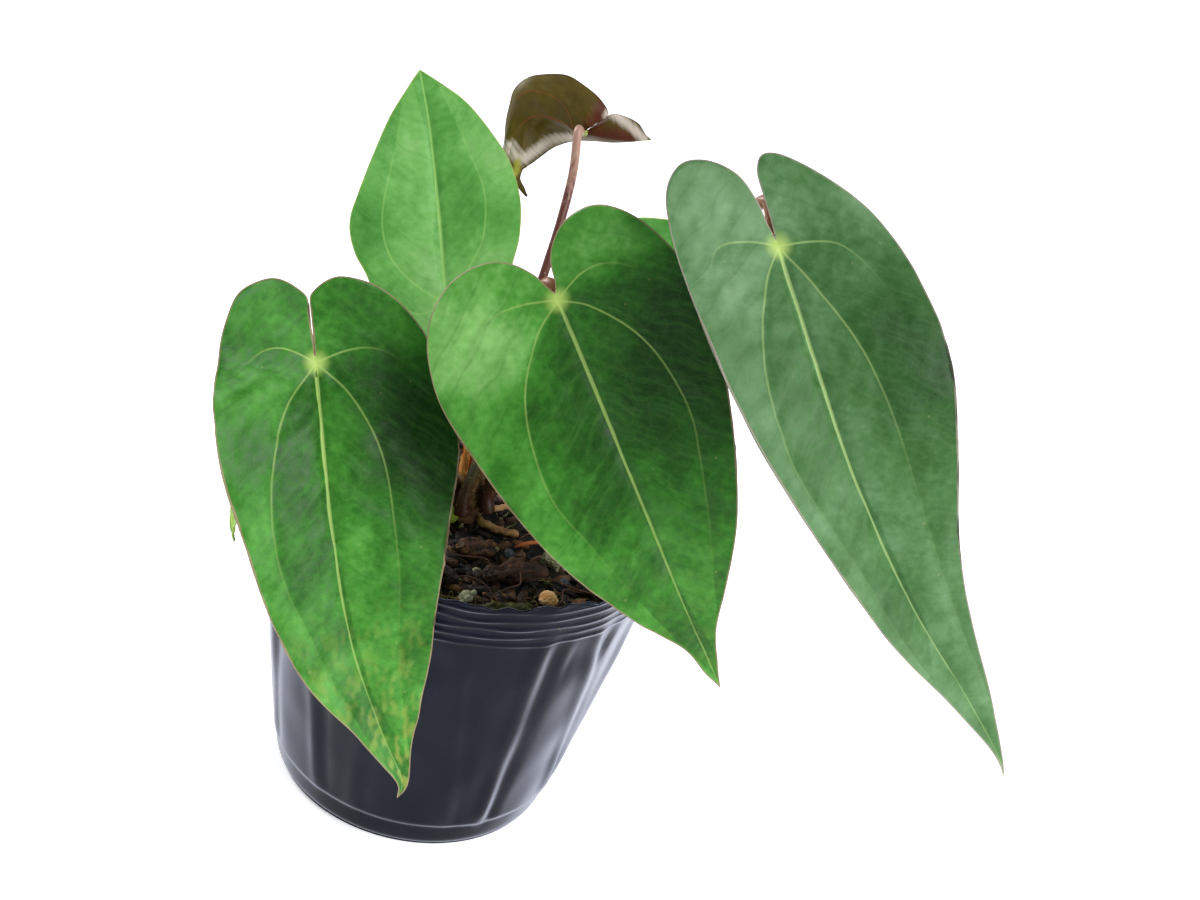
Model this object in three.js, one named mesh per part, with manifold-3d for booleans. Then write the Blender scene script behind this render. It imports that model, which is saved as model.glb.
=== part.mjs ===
// Potted anthurium hybrid: seven heart-shaped leaves on a short stem, in a soft black film pot.
// Lengths are millimetres and angles degrees, with +Z up. The origin is the centre of the
// pot's base, on the surface that the pot stands on, and the plant leans towards -Y.
import * as THREE from "three";
import { mergeVertices } from "three/addons/utils/BufferGeometryUtils.js";
import { ParametricGeometry } from "three/addons/geometries/ParametricGeometry.js";
import Module from "manifold-3d";

const wasm = await Module();
wasm.setup();

// Driving dimensions

const SEAT_GAP = 0.3; // air left between pieces that touch

const POT = {
  rimRadius: 60,
  baseRadius: 42,
  height: 102,
  wall: 0.8,
  floor: 1,
  footHeight: 9,
  footStep: 0.6,
  cornerRadius: 1.5,
  ribCount: 5,
  ribSpacing: 3.2,
  ribDepth: 0.5,
  segments: 48,
  holeCount: 8,
  holeRadius: 3.5,
  holeCircleRadius: 31,
  holeSides: 12,
};

const MIX = { edgeHeight: 94, moundRise: 2, rings: 5 };

// The short stem stands on the mix, a little in front of the pot's middle
const CROWN = {
  x: -1,
  y: -9,
  height: 13,
  baseRadius: 6,
  topRadius: 4.4,
  nodes: 3,
  segments: 20,
};

const BLADE = {
  thickness: 0.8,
  notch: 2, // the notch between the lobes stops this far behind the stalk
  rungs: 4, // cells from the midrib to the margin
  stations: 24, // cells along the margin
  crowding: 1.8, // above 1, the rungs start closer together near the stalk
  fanShare: 0, // the share of the margin whose rungs all start at the stalk's joint
  spineSamples: 24,
};

const STALK = {
  sides: 8,
  steps: 14,
  riseBeforeBend: 8,
  baseHeight: 4.5, // above the foot of the crown
  sheathLength: 8,
  sheathRadius: 2.3,
  jointLength: 5,
  jointSwell: 1.3,
  jointRings: 6,
  jointClear: 0, // how much further than the seat gap the joint stays below the blade
};

const ROOTS = {
  turns: [-32, 22, 84, 150, 205, 240],
  sweep: 14, // how far each one has turned aside at its end
  radius: 1,
  reach: 12,
  sides: 6,
  steps: 6,
};

// Papery scales left from old leaves stand in a ring on top of the crown
const SCALES = {
  lengths: [19, 15, 17, 13],
  firstTurn: 45,
  halfWidth: 1.7,
  widestUpTo: 0.35, // shares of the length
  halfWideAt: 0.8,
  ring: 2.8,
  lean: 0.05,
  fold: 18,
  thickness: 0.5,
  rungs: 2,
  stations: 8,
};

const FINISHES = {
  film: { color: 0x1b1d22, roughness: 0.35 },
  mix: { color: 0x2a1c12, roughness: 0.95 },
  crown: { color: 0x5a4326, roughness: 0.8 },
  scale: { color: 0xa8672c, roughness: 0.8 },
  root: { color: 0xb98a5a, roughness: 0.7 },
  stalk: { color: 0x6c4a34, roughness: 0.5 },
  bark: { color: 0x5e3a22, roughness: 0.9 },
  pumice: { color: 0x8c8a6a, roughness: 0.9 },
  stone: { color: 0xc9925a, roughness: 0.9 },
  prill: { color: 0x3c4450, roughness: 0.6 },
  moss: { color: 0x6f7d33, roughness: 0.9 },
};

const LEAF_ROUGHNESS = 0.4;

// Each leaf has a spine along its midrib, from a point between the lobes, through the stalk's
// joint, to the tip. "facing" says which way its upper side looks, and "fold" is how far the two
// halves rise from the midrib. The outline goes from the notch round the lobe to the tip, as
// [distance from the midrib, distance from the stalk's joint towards the tip]. The young leaf is
// still curled up, so its two rims are given as points in space instead.
const LEAVES = [
  {
    name: "front_left",
    colour: 0x2f6a26,
    spine: [
      [-51, -33, 169], [-44, -40, 150], [-36, -55, 136], [-28, -66, 118],
      [-17, -75, 93], [-4, -79, 70], [4, -80, 57], [4, -80, 50],
    ],
    facing: [[0.35, -0.82, 0.45]],
    fold: { left: [12], right: [12] },
    droop: 0.0022,
    left: [
      [0.5, -7], [1.1, -14], [3.5, -20], [11, -23.3], [19, -20.5], [24, -12], [26.5, -1],
      [28.6, 12], [27.8, 27], [24, 42], [20.5, 60], [14.8, 80], [7, 98], [2.8, 112],
    ],
    right: [
      [0.5, -7], [1.3, -14], [3.5, -20], [9.5, -21.8], [17.5, -18.6], [25, -11.5], [31, -1],
      [34.8, 13], [35, 27], [30.8, 45], [26, 62], [19.5, 83], [11, 99], [3.6, 112],
    ],
    stalk: [[-14, -14, 122], [-30, -23, 146], [-41, -32, 154]],
    stalkRadius: 1.7,
    baseTurn: 190,
  },
  {
    name: "centre",
    colour: 0x357a2b,
    spine: [
      [0, -29, 199], [13, -39, 185], [29, -55, 170], [48, -69, 149],
      [62, -73, 130], [73, -73, 114], [78, -72, 106],
    ],
    facing: [[-0.1, -0.92, 0.38]],
    fold: { left: [10], right: [10] },
    droop: 0.0018,
    left: [
      [1.1, -4], [3.2, -8.5], [8, -13.6], [15, -15.9], [24, -14.3], [31.5, -8.5], [36.2, 0.5],
      [37.6, 13], [34.8, 29], [30, 48], [23, 66], [13.2, 83], [5, 95], [2.2, 105],
    ],
    right: [
      [0.9, -4], [2.2, -10], [6.4, -15.6], [13.4, -18.5], [20.8, -17], [27.4, -10.5], [32, -0.5],
      [34.5, 12], [33.6, 28], [28.6, 48], [22, 65], [13, 81], [5.5, 93], [1.8, 104],
    ],
    stalk: [[3, -15, 130], [5, -21, 162], [8.5, -28.5, 183]],
    stalkRadius: 1.7,
    baseTurn: 275,
  },
  {
    name: "long_right",
    colour: 0x2d5a3a,
    spine: [
      [49, -28, 230], [62, -38, 214], [78, -57, 195], [94, -69, 174], [116, -74, 147],
      [138, -73, 123], [151, -71, 107], [155, -70, 100],
    ],
    facing: [[0.25, -0.88, 0.4]],
    fold: { left: [12], right: [12] },
    droop: 0.002,
    left: [
      [0.6, -6], [1.2, -13], [3.8, -20.3], [10.8, -25.8], [18, -26], [24, -18.5], [26, -4],
      [25.6, 14], [22.6, 36], [17, 60], [13, 81], [9.2, 104], [4.8, 126], [1.2, 146],
    ],
    right: [
      [0.5, -6], [0.9, -13], [1.5, -19], [4.2, -22.5], [9.5, -20], [18, -10.5], [26, 1.5],
      [30.8, 18], [31.6, 40], [26, 63], [17.5, 86], [11, 109], [5.5, 131], [1.4, 148],
    ],
    stalk: [[14, -13, 122], [33, -15, 166], [50, -20, 205], [57, -27, 220]],
    stalkRadius: 1.8,
    baseTurn: 335,
  },
  {
    name: "rear_left",
    stations: 20,
    colour: 0x5aa548,
    spine: [[-14, 7, 138], [-19, 14, 147], [-28, 32, 164], [-37, 46, 183], [-44, 53, 197]],
    facing: [[0, -0.75, 0.66]],
    fold: { left: [8], right: [8] },
    droop: 0.002,
    left: [
      [1, -4.5], [3.5, -8.8], [8.5, -10.6], [13.8, -7.5], [17, 0], [19.4, 9], [22.4, 18.5],
      [23.5, 29], [21.6, 40], [17.1, 49], [11.5, 57.5], [5.6, 63.6],
    ],
    right: [
      [1, -4.5], [4, -8.8], [9.4, -9.8], [15, -6.3], [18.8, 1], [22, 10], [25, 18],
      [25.4, 27], [21.4, 36.8], [16.4, 47], [10.8, 57], [4.4, 64.4],
    ],
    stalk: [[-8, 0, 114], [-13, 10, 131], [-17, 15.5, 141]],
    stalkRadius: 1.4,
    baseTurn: 130,
  },
  {
    name: "young_bronze",
    colour: 0x5c4a24,
    spine: [
      [13, 49, 193], [5, 50, 192], [-2, 52, 193.3], [-9, 54, 192], [-13, 55, 187],
      [-14.2, 54, 181], [-12.8, 52, 175], [-6, 49, 169],
    ],
    facing: [[0.1, 0.9, -0.35]],
    thickness: 0.6,
    fanShare: 0.42,
    crowding: 1.2,
    rims: {
      notch: [6, 50.5, 192.9],
      left: [
        [7.4, 51.3, 193.9], [9.7, 52.8, 195.8], [11.9, 53.9, 197.9], [14.9, 52.8, 199],
        [19.7, 51, 198.9], [22.6, 49, 197], [24.4, 48.4, 195.8], [19.6, 49, 193.8],
        [13.2, 51, 191.2], [8.2, 53.5, 188.9], [3.8, 56, 186.5], [-0.4, 58.5, 183.1],
        [-3.1, 59.5, 180.7], [-5.4, 59, 177.8], [-7.7, 56.5, 176], [-9.3, 54.5, 175.1],
        [-9.6, 53, 174.1], [-9, 51.5, 172.6], [-7.4, 49.8, 170.9],
      ],
      right: [
        [7, 50.7, 194.1], [8.3, 51, 195.5], [9.6, 51.3, 197], [10.5, 52, 198.1],
        [10.4, 53, 199.1], [8.7, 54.2, 200.5], [6.5, 55.3, 201.8], [4, 56.3, 202.8],
        [1.4, 57.2, 203.5], [-2.6, 58.2, 204.2], [-6.4, 58.8, 203.8], [-10.2, 58.9, 202.5],
        [-13.9, 58.7, 200.6], [-16.4, 58, 197.2], [-17.4, 56.8, 191.8], [-17.5, 55.6, 186.6],
        [-17.1, 54.3, 182], [-15.9, 53, 177.6], [-12.4, 51.2, 172.8],
      ],
    },
    bulge: { left: [0, -1, 0.4], right: [0, -2, 1] },
    stalk: [[1.5, 4, 120], [5, 27, 161], [5.6, 40, 181]],
    stalkRadius: 1.3,
    jointClear: 0.25,
    baseTurn: 85,
  },
  {
    name: "hidden_rear",
    stations: 16,
    colour: 0x3f8a34,
    spine: [[17, 20, 144], [25, 22, 149], [38, 27, 156], [50, 32, 161], [66, 36, 165.5]],
    facing: [[-0.1, -0.75, 0.65]],
    fold: { left: [10], right: [10] },
    droop: 0.002,
    left: [
      [1, -3.5], [4, -7.5], [9, -9], [15, -5.5], [18.5, 2], [20, 11], [18, 21],
      [13.5, 30], [7, 37],
    ],
    right: [
      [1, -4], [6, -9], [13, -10], [20, -4], [25, 6], [26.8, 16], [24.4, 24],
      [19.5, 30], [13, 36],
    ],
    stalk: [[8, 2, 113], [17, 14, 133], [23.5, 22, 144]],
    stalkRadius: 1.3,
    baseTurn: 40,
  },
  {
    name: "small_yellow",
    stations: 16,
    colour: 0xa4bf3a,
    spine: [
      [-48, -20, 131], [-49, -22, 127], [-54, -26, 115],
      [-57.5, -28, 100], [-59, -27, 85], [-59, -25, 78],
    ],
    facing: [[-0.7, -0.45, 0.5]],
    fold: { left: [16], right: [16] },
    droop: 0.004,
    left: [
      [0.8, -3], [2.6, -5.5], [5.6, -6], [8.2, -3], [9.6, 3], [9.8, 11], [8.6, 20],
      [6, 29], [3.2, 37], [1.3, 43.5],
    ],
    right: [
      [0.8, -3], [2.6, -5.7], [5.8, -6.2], [8.6, -3], [10.2, 3.5], [10.4, 11], [9, 20],
      [6.2, 29], [3.2, 37], [1.4, 43.5],
    ],
    stalk: [[-17, -13, 107], [-33, -17, 121], [-44, -19, 127.5]],
    stalkRadius: 1.1,
    baseTurn: 235,
  },
];

// Loose pieces on the mix that show from the front: place, size along, across and up, and turn
const LOOSE = [
  { name: "bark_front_long", kind: "bark", at: [18.5, -32.5], size: [17, 5.5, 3.6], turn: 31 },
  { name: "bark_front_red", kind: "bark", at: [6.5, -27], size: [9, 5.5, 3.4], turn: 20 },
  { name: "bark_front_left", kind: "bark", at: [-4, -40], size: [15, 5, 3], turn: -24 },
  { name: "bark_front_edge", kind: "bark", at: [41, -28], size: [10, 6, 3], turn: 60 },
  { name: "stone_orange", kind: "stone", at: [29.5, -40], size: [5.2, 4.6, 4.2], turn: 15 },
  { name: "stone_pale", kind: "pumice", at: [8, -48], size: [5, 3.6, 3.2], turn: 70 },
  { name: "pumice_green", kind: "pumice", at: [28, -22], size: [7, 6, 4.6], turn: 40 },
  { name: "prill_dark", kind: "prill", at: [15.6, -25.2], size: [3.2, 3.2, 3.2], turn: 0 },
  { name: "prill_grey", kind: "prill", at: [32.4, -31], size: [3.2, 3.2, 3.2], turn: 0 },
  { name: "moss_tuft", kind: "moss", at: [-8, -30], size: [7, 5, 3.4], turn: 0 },
  { name: "moss_rim", kind: "moss", at: [20, -48.5], size: [15, 5, 3], turn: 22 },
];

// The rest of the loose bark and pumice lies round the sides and the back, in two rings
const SIDE_CHIPS = {
  count: 12,
  from: -8,
  to: 228,
  innerRadius: 30,
  outerRadius: 45,
  swing: 25, // how far a piece turns either way from lying along its ring
  bark: [11, 5.5, 3.2],
  barkVaries: 3,
  pumice: [6.5, 5.5, 4.4],
  pumiceEvery: 4,
};

const BARK = {
  cells: [4, 2, 1], // along, across and up
  taper: 0.45, // how much narrower the ends are
  uneven: 0.08, // how unequal the ends are
  crook: 0.12, // its sideways waves, as a share of the width
  crookTurn: 0.9, // radians of wave for each millimetre along
  rounding: 0.25, // how much thinner the long edges are
  warp: 0.1, // its up and down waves, as a share of the height
};

const LUMP = { detail: 1, wavesAlong: 9, wavesAcross: 8, wavesUp: 5 };

// How deep the dents of a ball-like piece are, as a share of its size
const DENTS = { stone: 0.06, pumice: 0.16, prill: 0, moss: 0.22 };

const DEG = Math.PI / 180;
const plant = new THREE.Group();

// A closed, indexed geometry: shared vertices merged, and faces of no area left out
function closed(geometry) {
  const bare = geometry.clone();
  bare.deleteAttribute("normal");
  bare.deleteAttribute("uv");
  const merged = mergeVertices(bare, 1e-3);
  const corners = merged.index.array;
  const kept = [];
  for (let i = 0; i < corners.length; i += 3) {
    const [a, b, c] = corners.slice(i, i + 3);
    if (a !== b && b !== c && c !== a) kept.push(a, b, c);
  }
  merged.setIndex(kept);
  merged.computeVertexNormals();
  return merged;
}

function toManifold(geometry) {
  const body = closed(geometry);
  const vertProperties = new Float32Array(body.attributes.position.array);
  const triVerts = new Uint32Array(body.index.array);
  return new wasm.Manifold(new wasm.Mesh({ numProp: 3, vertProperties, triVerts }));
}

function toGeometry(body) {
  const mesh = body.getMesh();
  const geometry = new THREE.BufferGeometry();
  geometry.setAttribute("position", new THREE.BufferAttribute(mesh.vertProperties, 3));
  geometry.setIndex(new THREE.BufferAttribute(mesh.triVerts, 1));
  geometry.computeVertexNormals();
  return geometry;
}

// A sheet's middle surface, thickened by half to each side, with a wall round its edge
function thicken(geometry, thickness) {
  const sheet = closed(geometry);
  const place = sheet.attributes.position;
  const normal = sheet.attributes.normal;
  const count = place.count;
  const points = [];
  for (const side of [0.5, -0.5]) {
    for (let i = 0; i < count; i++) {
      const point = new THREE.Vector3().fromBufferAttribute(normal, i);
      point.multiplyScalar(side * thickness);
      point.x += place.getX(i);
      point.y += place.getY(i);
      point.z += place.getZ(i);
      points.push(...point);
    }
  }
  const faces = [];
  const edges = new Set();
  const corners = sheet.index.array;
  for (let i = 0; i < corners.length; i += 3) {
    const [a, b, c] = corners.slice(i, i + 3);
    faces.push(a, b, c, count + a, count + c, count + b);
    edges.add(a + " " + b).add(b + " " + c).add(c + " " + a);
  }
  for (const edge of edges) {
    const [from, to] = edge.split(" ").map(Number);
    if (edges.has(to + " " + from)) continue;
    faces.push(to, from, count + from, to, count + from, count + to);
  }
  const solid = new THREE.BufferGeometry();
  solid.setAttribute("position", new THREE.Float32BufferAttribute(points, 3));
  solid.setIndex(faces);
  solid.computeVertexNormals();
  return solid;
}

function add(name, geometry, finish) {
  const mesh = new THREE.Mesh(geometry, new THREE.MeshStandardMaterial(finish));
  mesh.name = name;
  plant.add(mesh);
}

// A lathe turns about Y, so its result is stood up on Z
function latheUp(points, segments) {
  const profile = points.map(([radius, z]) => new THREE.Vector2(radius, z));
  return new THREE.LatheGeometry(profile, segments).rotateX(90 * DEG);
}

function tube(points, radius, sides, steps) {
  const section = new THREE.Shape();
  section.absarc(0, 0, radius, 0, 360 * DEG, false);
  return new THREE.ExtrudeGeometry(section, {
    steps,
    curveSegments: sides / 2,
    extrudePath: new THREE.CatmullRomCurve3(points),
    bevelEnabled: false,
  });
}

// Pot: a thin shell of film with a foot step, a sloping wall and ribs under the rim

const RIBS_FROM = POT.height - POT.ribCount * POT.ribSpacing;

function wallRadius(z) {
  const slope = (POT.rimRadius - POT.baseRadius) / POT.height;
  return POT.baseRadius + slope * z - (z < POT.footHeight ? POT.footStep : 0);
}

function potOutside() {
  const ribs = [];
  for (let i = 0; i < POT.ribCount; i++) {
    const z = RIBS_FROM + i * POT.ribSpacing;
    ribs.push([wallRadius(z), z]);
    ribs.push([wallRadius(z) - POT.ribDepth, z + POT.ribSpacing / 2]);
  }
  return [
    [0, 0],
    [wallRadius(0) - POT.cornerRadius, 0],
    [wallRadius(POT.cornerRadius), POT.cornerRadius],
    [wallRadius(POT.footHeight - POT.footStep), POT.footHeight - POT.footStep],
    [wallRadius(POT.footHeight), POT.footHeight],
    ...ribs,
    [POT.rimRadius, POT.height],
  ];
}

// From the rim down to the middle of the floor, "clear" further in than the film's inner face
function potInside(clear) {
  const inset = POT.wall + clear;
  return [
    [POT.rimRadius - POT.ribDepth - inset, POT.height],
    [wallRadius(RIBS_FROM) - POT.ribDepth - inset, RIBS_FROM],
    [wallRadius(RIBS_FROM - POT.ribSpacing) - inset, RIBS_FROM - POT.ribSpacing],
    [wallRadius(POT.footHeight) - inset, POT.footHeight],
    [wallRadius(POT.footHeight - POT.footStep) - inset, POT.footHeight - POT.footStep],
    [wallRadius(POT.cornerRadius) - inset, POT.cornerRadius + POT.floor],
    [wallRadius(0) - POT.cornerRadius - inset, POT.floor + clear],
    [0, POT.floor + clear],
  ];
}

function pot() {
  let shell = toManifold(latheUp([...potOutside(), ...potInside(0)], POT.segments));
  for (let i = 0; i < POT.holeCount; i++) {
    const turn = ((i + 0.5) / POT.holeCount) * 360 * DEG;
    const depth = 4 * POT.floor;
    const hole = new THREE.CylinderGeometry(POT.holeRadius, POT.holeRadius, depth, POT.holeSides);
    hole.rotateX(90 * DEG);
    hole.translate(POT.holeCircleRadius * Math.cos(turn), POT.holeCircleRadius * Math.sin(turn), 0);
    shell = shell.subtract(toManifold(hole));
  }
  return toGeometry(shell);
}

// Potting mix: it fills the pot and is mounded towards the middle

const MIX_RADIUS = (() => {
  const [top, belowRibs] = potInside(SEAT_GAP);
  const share = (MIX.edgeHeight - belowRibs[1]) / (top[1] - belowRibs[1]);
  return belowRibs[0] + share * (top[0] - belowRibs[0]);
})();

function mixTop(radius) {
  const share = Math.min(radius / MIX_RADIUS, 1);
  return MIX.edgeHeight + MIX.moundRise * (1 - share * share);
}

function mix() {
  const wall = potInside(SEAT_GAP).slice(1).reverse();
  const mound = [];
  for (let i = 0; i <= MIX.rings; i++) {
    const radius = MIX_RADIUS * (1 - i / MIX.rings);
    mound.push([radius, mixTop(radius)]);
  }
  return closed(latheUp([...wall, ...mound], POT.segments));
}

// Crown: the short stem, a little wider at each of its old leaf scars

const CROWN_FOOT = mixTop(0) + SEAT_GAP;
const CROWN_TOP = CROWN_FOOT + CROWN.height;

function crownRadius(z) {
  const up = (z - CROWN_FOOT) / CROWN.height;
  return CROWN.baseRadius + (CROWN.topRadius - CROWN.baseRadius) * up;
}

function crown() {
  const profile = [[0, CROWN_FOOT]];
  for (let i = 0; i <= 2 * CROWN.nodes; i++) {
    const z = CROWN_FOOT + (CROWN.height * i) / (2 * CROWN.nodes);
    const narrowing = i % 2 ? 0 : SEAT_GAP;
    profile.push([crownRadius(z) - narrowing, z]);
  }
  profile.push([0, CROWN_TOP]);
  return closed(latheUp(profile, CROWN.segments)).translate(CROWN.x, CROWN.y, 0);
}

// A point beside the crown, "clear" away from its side
function besideCrown(turn, z, clear) {
  const radius = crownRadius(z) + SEAT_GAP + clear;
  return new THREE.Vector3(
    CROWN.x + radius * Math.cos(turn * DEG),
    CROWN.y + radius * Math.sin(turn * DEG),
    z,
  );
}

// A leaf's spine, measured along its length from the stalk's joint: where it is, the way to the
// tip, the way across the blade and the way that the upper side faces
class Spine {
  constructor(leaf) {
    const points = leaf.spine.map((p) => new THREE.Vector3(...p));
    const curve = new THREE.CatmullRomCurve3(points, false, "catmullrom", 0.5);
    const count = (points.length - 1) * BLADE.spineSamples;
    this.places = curve.getPoints(count);
    this.lengths = [0];
    for (let i = 1; i <= count; i++) {
      const step = this.places[i].distanceTo(this.places[i - 1]);
      this.lengths.push(this.lengths[i - 1] + step);
    }
    const joint = this.lengths[leaf.startsAtBase ? 0 : BLADE.spineSamples];
    this.lengths = this.lengths.map((length) => length - joint);
    this.reach = this.lengths[count];
    this.leaf = leaf;
    this.tangents = this.places.map((_, i) => curve.getTangent(i / count));
  }

  // The two values of a list that lie around y, spread evenly from the joint to the tip
  along(list, y) {
    const place = THREE.MathUtils.clamp(y / this.reach, 0, 1) * (list.length - 1);
    const i = Math.min(Math.floor(place), Math.max(list.length - 2, 0));
    return { from: list[i], to: list[i + 1] ?? list[i], share: place - i };
  }

  frame(y) {
    const inside = THREE.MathUtils.clamp(y, this.lengths[0], this.reach);
    let i = this.lengths.findIndex((length) => length >= inside);
    i = Math.max(i, 1);
    const share = (inside - this.lengths[i - 1]) / (this.lengths[i] - this.lengths[i - 1]);
    const tangent = this.tangents[i - 1].clone().lerp(this.tangents[i], share).normalize();
    const place = this.places[i - 1].clone().lerp(this.places[i], share);
    place.addScaledVector(tangent, y - inside);
    const look = this.along(this.leaf.facing, y);
    const facing = new THREE.Vector3(...look.from).lerp(new THREE.Vector3(...look.to), look.share);
    const across = facing.cross(tangent).normalize();
    const up = tangent.clone().cross(across);
    return { place, tangent, across, up };
  }

  // A point of the flattened blade: x across, where its sign is the side, and y along
  at(x, y) {
    const { place, across, up } = this.frame(y);
    const fold = this.along(x < 0 ? this.leaf.fold.left : this.leaf.fold.right, y);
    const angle = THREE.MathUtils.lerp(fold.from, fold.to, fold.share) * DEG;
    const rise = Math.abs(x) * Math.sin(angle) - this.leaf.droop * x * x;
    return place.addScaledVector(across, x * Math.cos(angle)).addScaledVector(up, rise);
  }
}

// The two margins, each a curve from the notch to the tip: flat, or in space for a curled leaf
function marginsOf(leaf, spine) {
  const flat = (side) =>
    new THREE.SplineCurve(
      [[0, -leaf.notch], ...leaf[side], [0, spine.reach]].map((p) => new THREE.Vector2(...p)),
    );
  const curled = (side) => {
    const rim = leaf.rims[side].map((p) => new THREE.Vector3(...p));
    const notch = new THREE.Vector3(...leaf.rims.notch);
    const points = [notch, ...rim, spine.frame(spine.reach).place];
    return new THREE.CatmullRomCurve3(points, false, "catmullrom", 0.5);
  };
  const margin = leaf.rims ? curled : flat;
  return { left: margin("left"), right: margin("right") };
}

// Blade: a sheet on rungs that fan out from the midrib to the margin. "v" runs along the margin
// from the notch to the tip, and "out" across from -1 at the left margin to 1 at the right one.
function blade(leaf, rungs, stations) {
  const spine = new Spine(leaf);
  const margins = marginsOf(leaf, spine);

  const place = (u, v, target) => {
    const out = Math.round(2 * rungs * u) / rungs - 1;
    const share = Math.abs(out);
    const side = out < 0 ? "left" : "right";
    const rim = margins[side].getPoint(v);
    const past = Math.max(0, (v - leaf.fanShare) / (1 - leaf.fanShare));
    const start = spine.reach * Math.pow(past, leaf.crowding);
    if (leaf.rims) {
      const bulge = new THREE.Vector3(...leaf.bulge[side]);
      bulge.multiplyScalar(4 * share * (1 - share) * Math.sin(Math.PI * v));
      target.copy(spine.frame(start).place.lerp(rim, share).add(bulge));
    } else {
      const x = Math.sign(out) * rim.x * (1 - (1 - share) * (1 - share));
      target.copy(spine.at(x, start + (rim.y - start) * share));
    }
  };
  const sheet = new ParametricGeometry(place, 2 * rungs, stations);
  return { geometry: thicken(sheet, leaf.thickness), spine };
}

// Stalk: it starts beside the crown in a widened sheath and ends under the blade in a swollen joint
function stalk(leaf, spine) {
  const foot = besideCrown(leaf.baseTurn, CROWN_FOOT + STALK.baseHeight, STALK.sheathRadius);
  const bend = besideCrown(
    leaf.baseTurn,
    CROWN_FOOT + STALK.baseHeight + STALK.riseBeforeBend,
    STALK.sheathRadius + SEAT_GAP,
  );
  const { place, up } = spine.frame(0);
  const below = leaf.thickness / 2 + SEAT_GAP + leaf.jointClear;
  const end = place.clone().addScaledVector(up, -below);
  const shoulder = end.clone().addScaledVector(up, -STALK.jointLength);
  const route = leaf.stalk.map((p) => new THREE.Vector3(...p));
  const body = toManifold(
    tube([foot, bend, ...route, shoulder, end], leaf.stalkRadius, STALK.sides, STALK.steps),
  );
  const sheath = new THREE.CylinderGeometry(
    leaf.stalkRadius,
    STALK.sheathRadius,
    STALK.sheathLength,
    STALK.sides,
  )
    .rotateX(90 * DEG)
    .translate(foot.x, foot.y, foot.z + STALK.sheathLength / 2);
  const swollen = leaf.stalkRadius * STALK.jointSwell;
  const middle = end.clone().addScaledVector(up, -STALK.jointLength / 2 - SEAT_GAP);
  const joint = new THREE.SphereGeometry(1, STALK.sides, STALK.jointRings)
    .scale(swollen, STALK.jointLength / 2, swollen)
    .applyQuaternion(new THREE.Quaternion().setFromUnitVectors(new THREE.Vector3(0, 1, 0), up))
    .translate(middle.x, middle.y, middle.z);
  return toGeometry(body.add(toManifold(sheath)).add(toManifold(joint)));
}

// Bark: a slab with ragged, tapering ends. "phase" makes each one different.
function bark([length, width, height], phase) {
  const slab = new THREE.BoxGeometry(length, width, height, ...BARK.cells);
  const place = slab.attributes.position;
  for (let i = 0; i < place.count; i++) {
    const [x, y, z] = [place.getX(i), place.getY(i), place.getZ(i)];
    const taper = 1 - BARK.taper * Math.pow(Math.abs((2 * x) / length), 3);
    const crook = BARK.crook * width * Math.sin(phase + x * BARK.crookTurn + z);
    const warp = BARK.warp * height * Math.cos(phase + x);
    place.setXYZ(
      i,
      x * (1 + BARK.uneven * Math.sin(phase + 2 * y)),
      y * taper + crook,
      z * (1 - BARK.rounding * Math.abs((2 * y) / width)) + warp,
    );
  }
  return closed(slab);
}

// Pebbles, pumice, feed prills and moss: a ball stretched to size and dented
function lump([length, width, height], dent, phase) {
  const ball = new THREE.IcosahedronGeometry(0.5, LUMP.detail);
  const place = ball.attributes.position;
  for (let i = 0; i < place.count; i++) {
    const [x, y, z] = [place.getX(i), place.getY(i), place.getZ(i)];
    const waves =
      Math.sin(LUMP.wavesAlong * x + phase) *
      Math.cos(LUMP.wavesAcross * y - phase + LUMP.wavesUp * z);
    const swell = 1 + dent * waves;
    place.setXYZ(i, x * swell * length, y * swell * width, z * swell * height);
  }
  return closed(ball);
}

// A piece lies on the mound with the seat gap under its lowest place
function layOnMix(geometry, [x, y], turn) {
  geometry.rotateZ(turn * DEG).translate(x, y, 0);
  const place = geometry.attributes.position;
  let lift = -Infinity;
  for (let i = 0; i < place.count; i++) {
    const ground = mixTop(Math.hypot(place.getX(i), place.getY(i)));
    lift = Math.max(lift, ground - place.getZ(i));
  }
  return geometry.translate(0, 0, lift + SEAT_GAP);
}

function addLoose({ name, kind, at, size, turn }, phase) {
  const shape = kind === "bark" ? bark(size, phase) : lump(size, DENTS[kind], phase);
  add(name, layOnMix(shape, at, turn), FINISHES[kind]);
}

// The plant, from the pot up

add("nursery_pot", pot(), FINISHES.film);
add("potting_mix", mix(), FINISHES.mix);
add("crown_stem", crown(), FINISHES.crown);

for (const leaf of LEAVES) {
  const whole = { ...BLADE, jointClear: STALK.jointClear, ...leaf };
  const { geometry, spine } = blade(whole, BLADE.rungs, whole.stations);
  add("stalk_" + leaf.name, stalk(whole, spine), FINISHES.stalk);
  add("blade_" + leaf.name, geometry, { color: leaf.colour, roughness: LEAF_ROUGHNESS });
}

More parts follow.
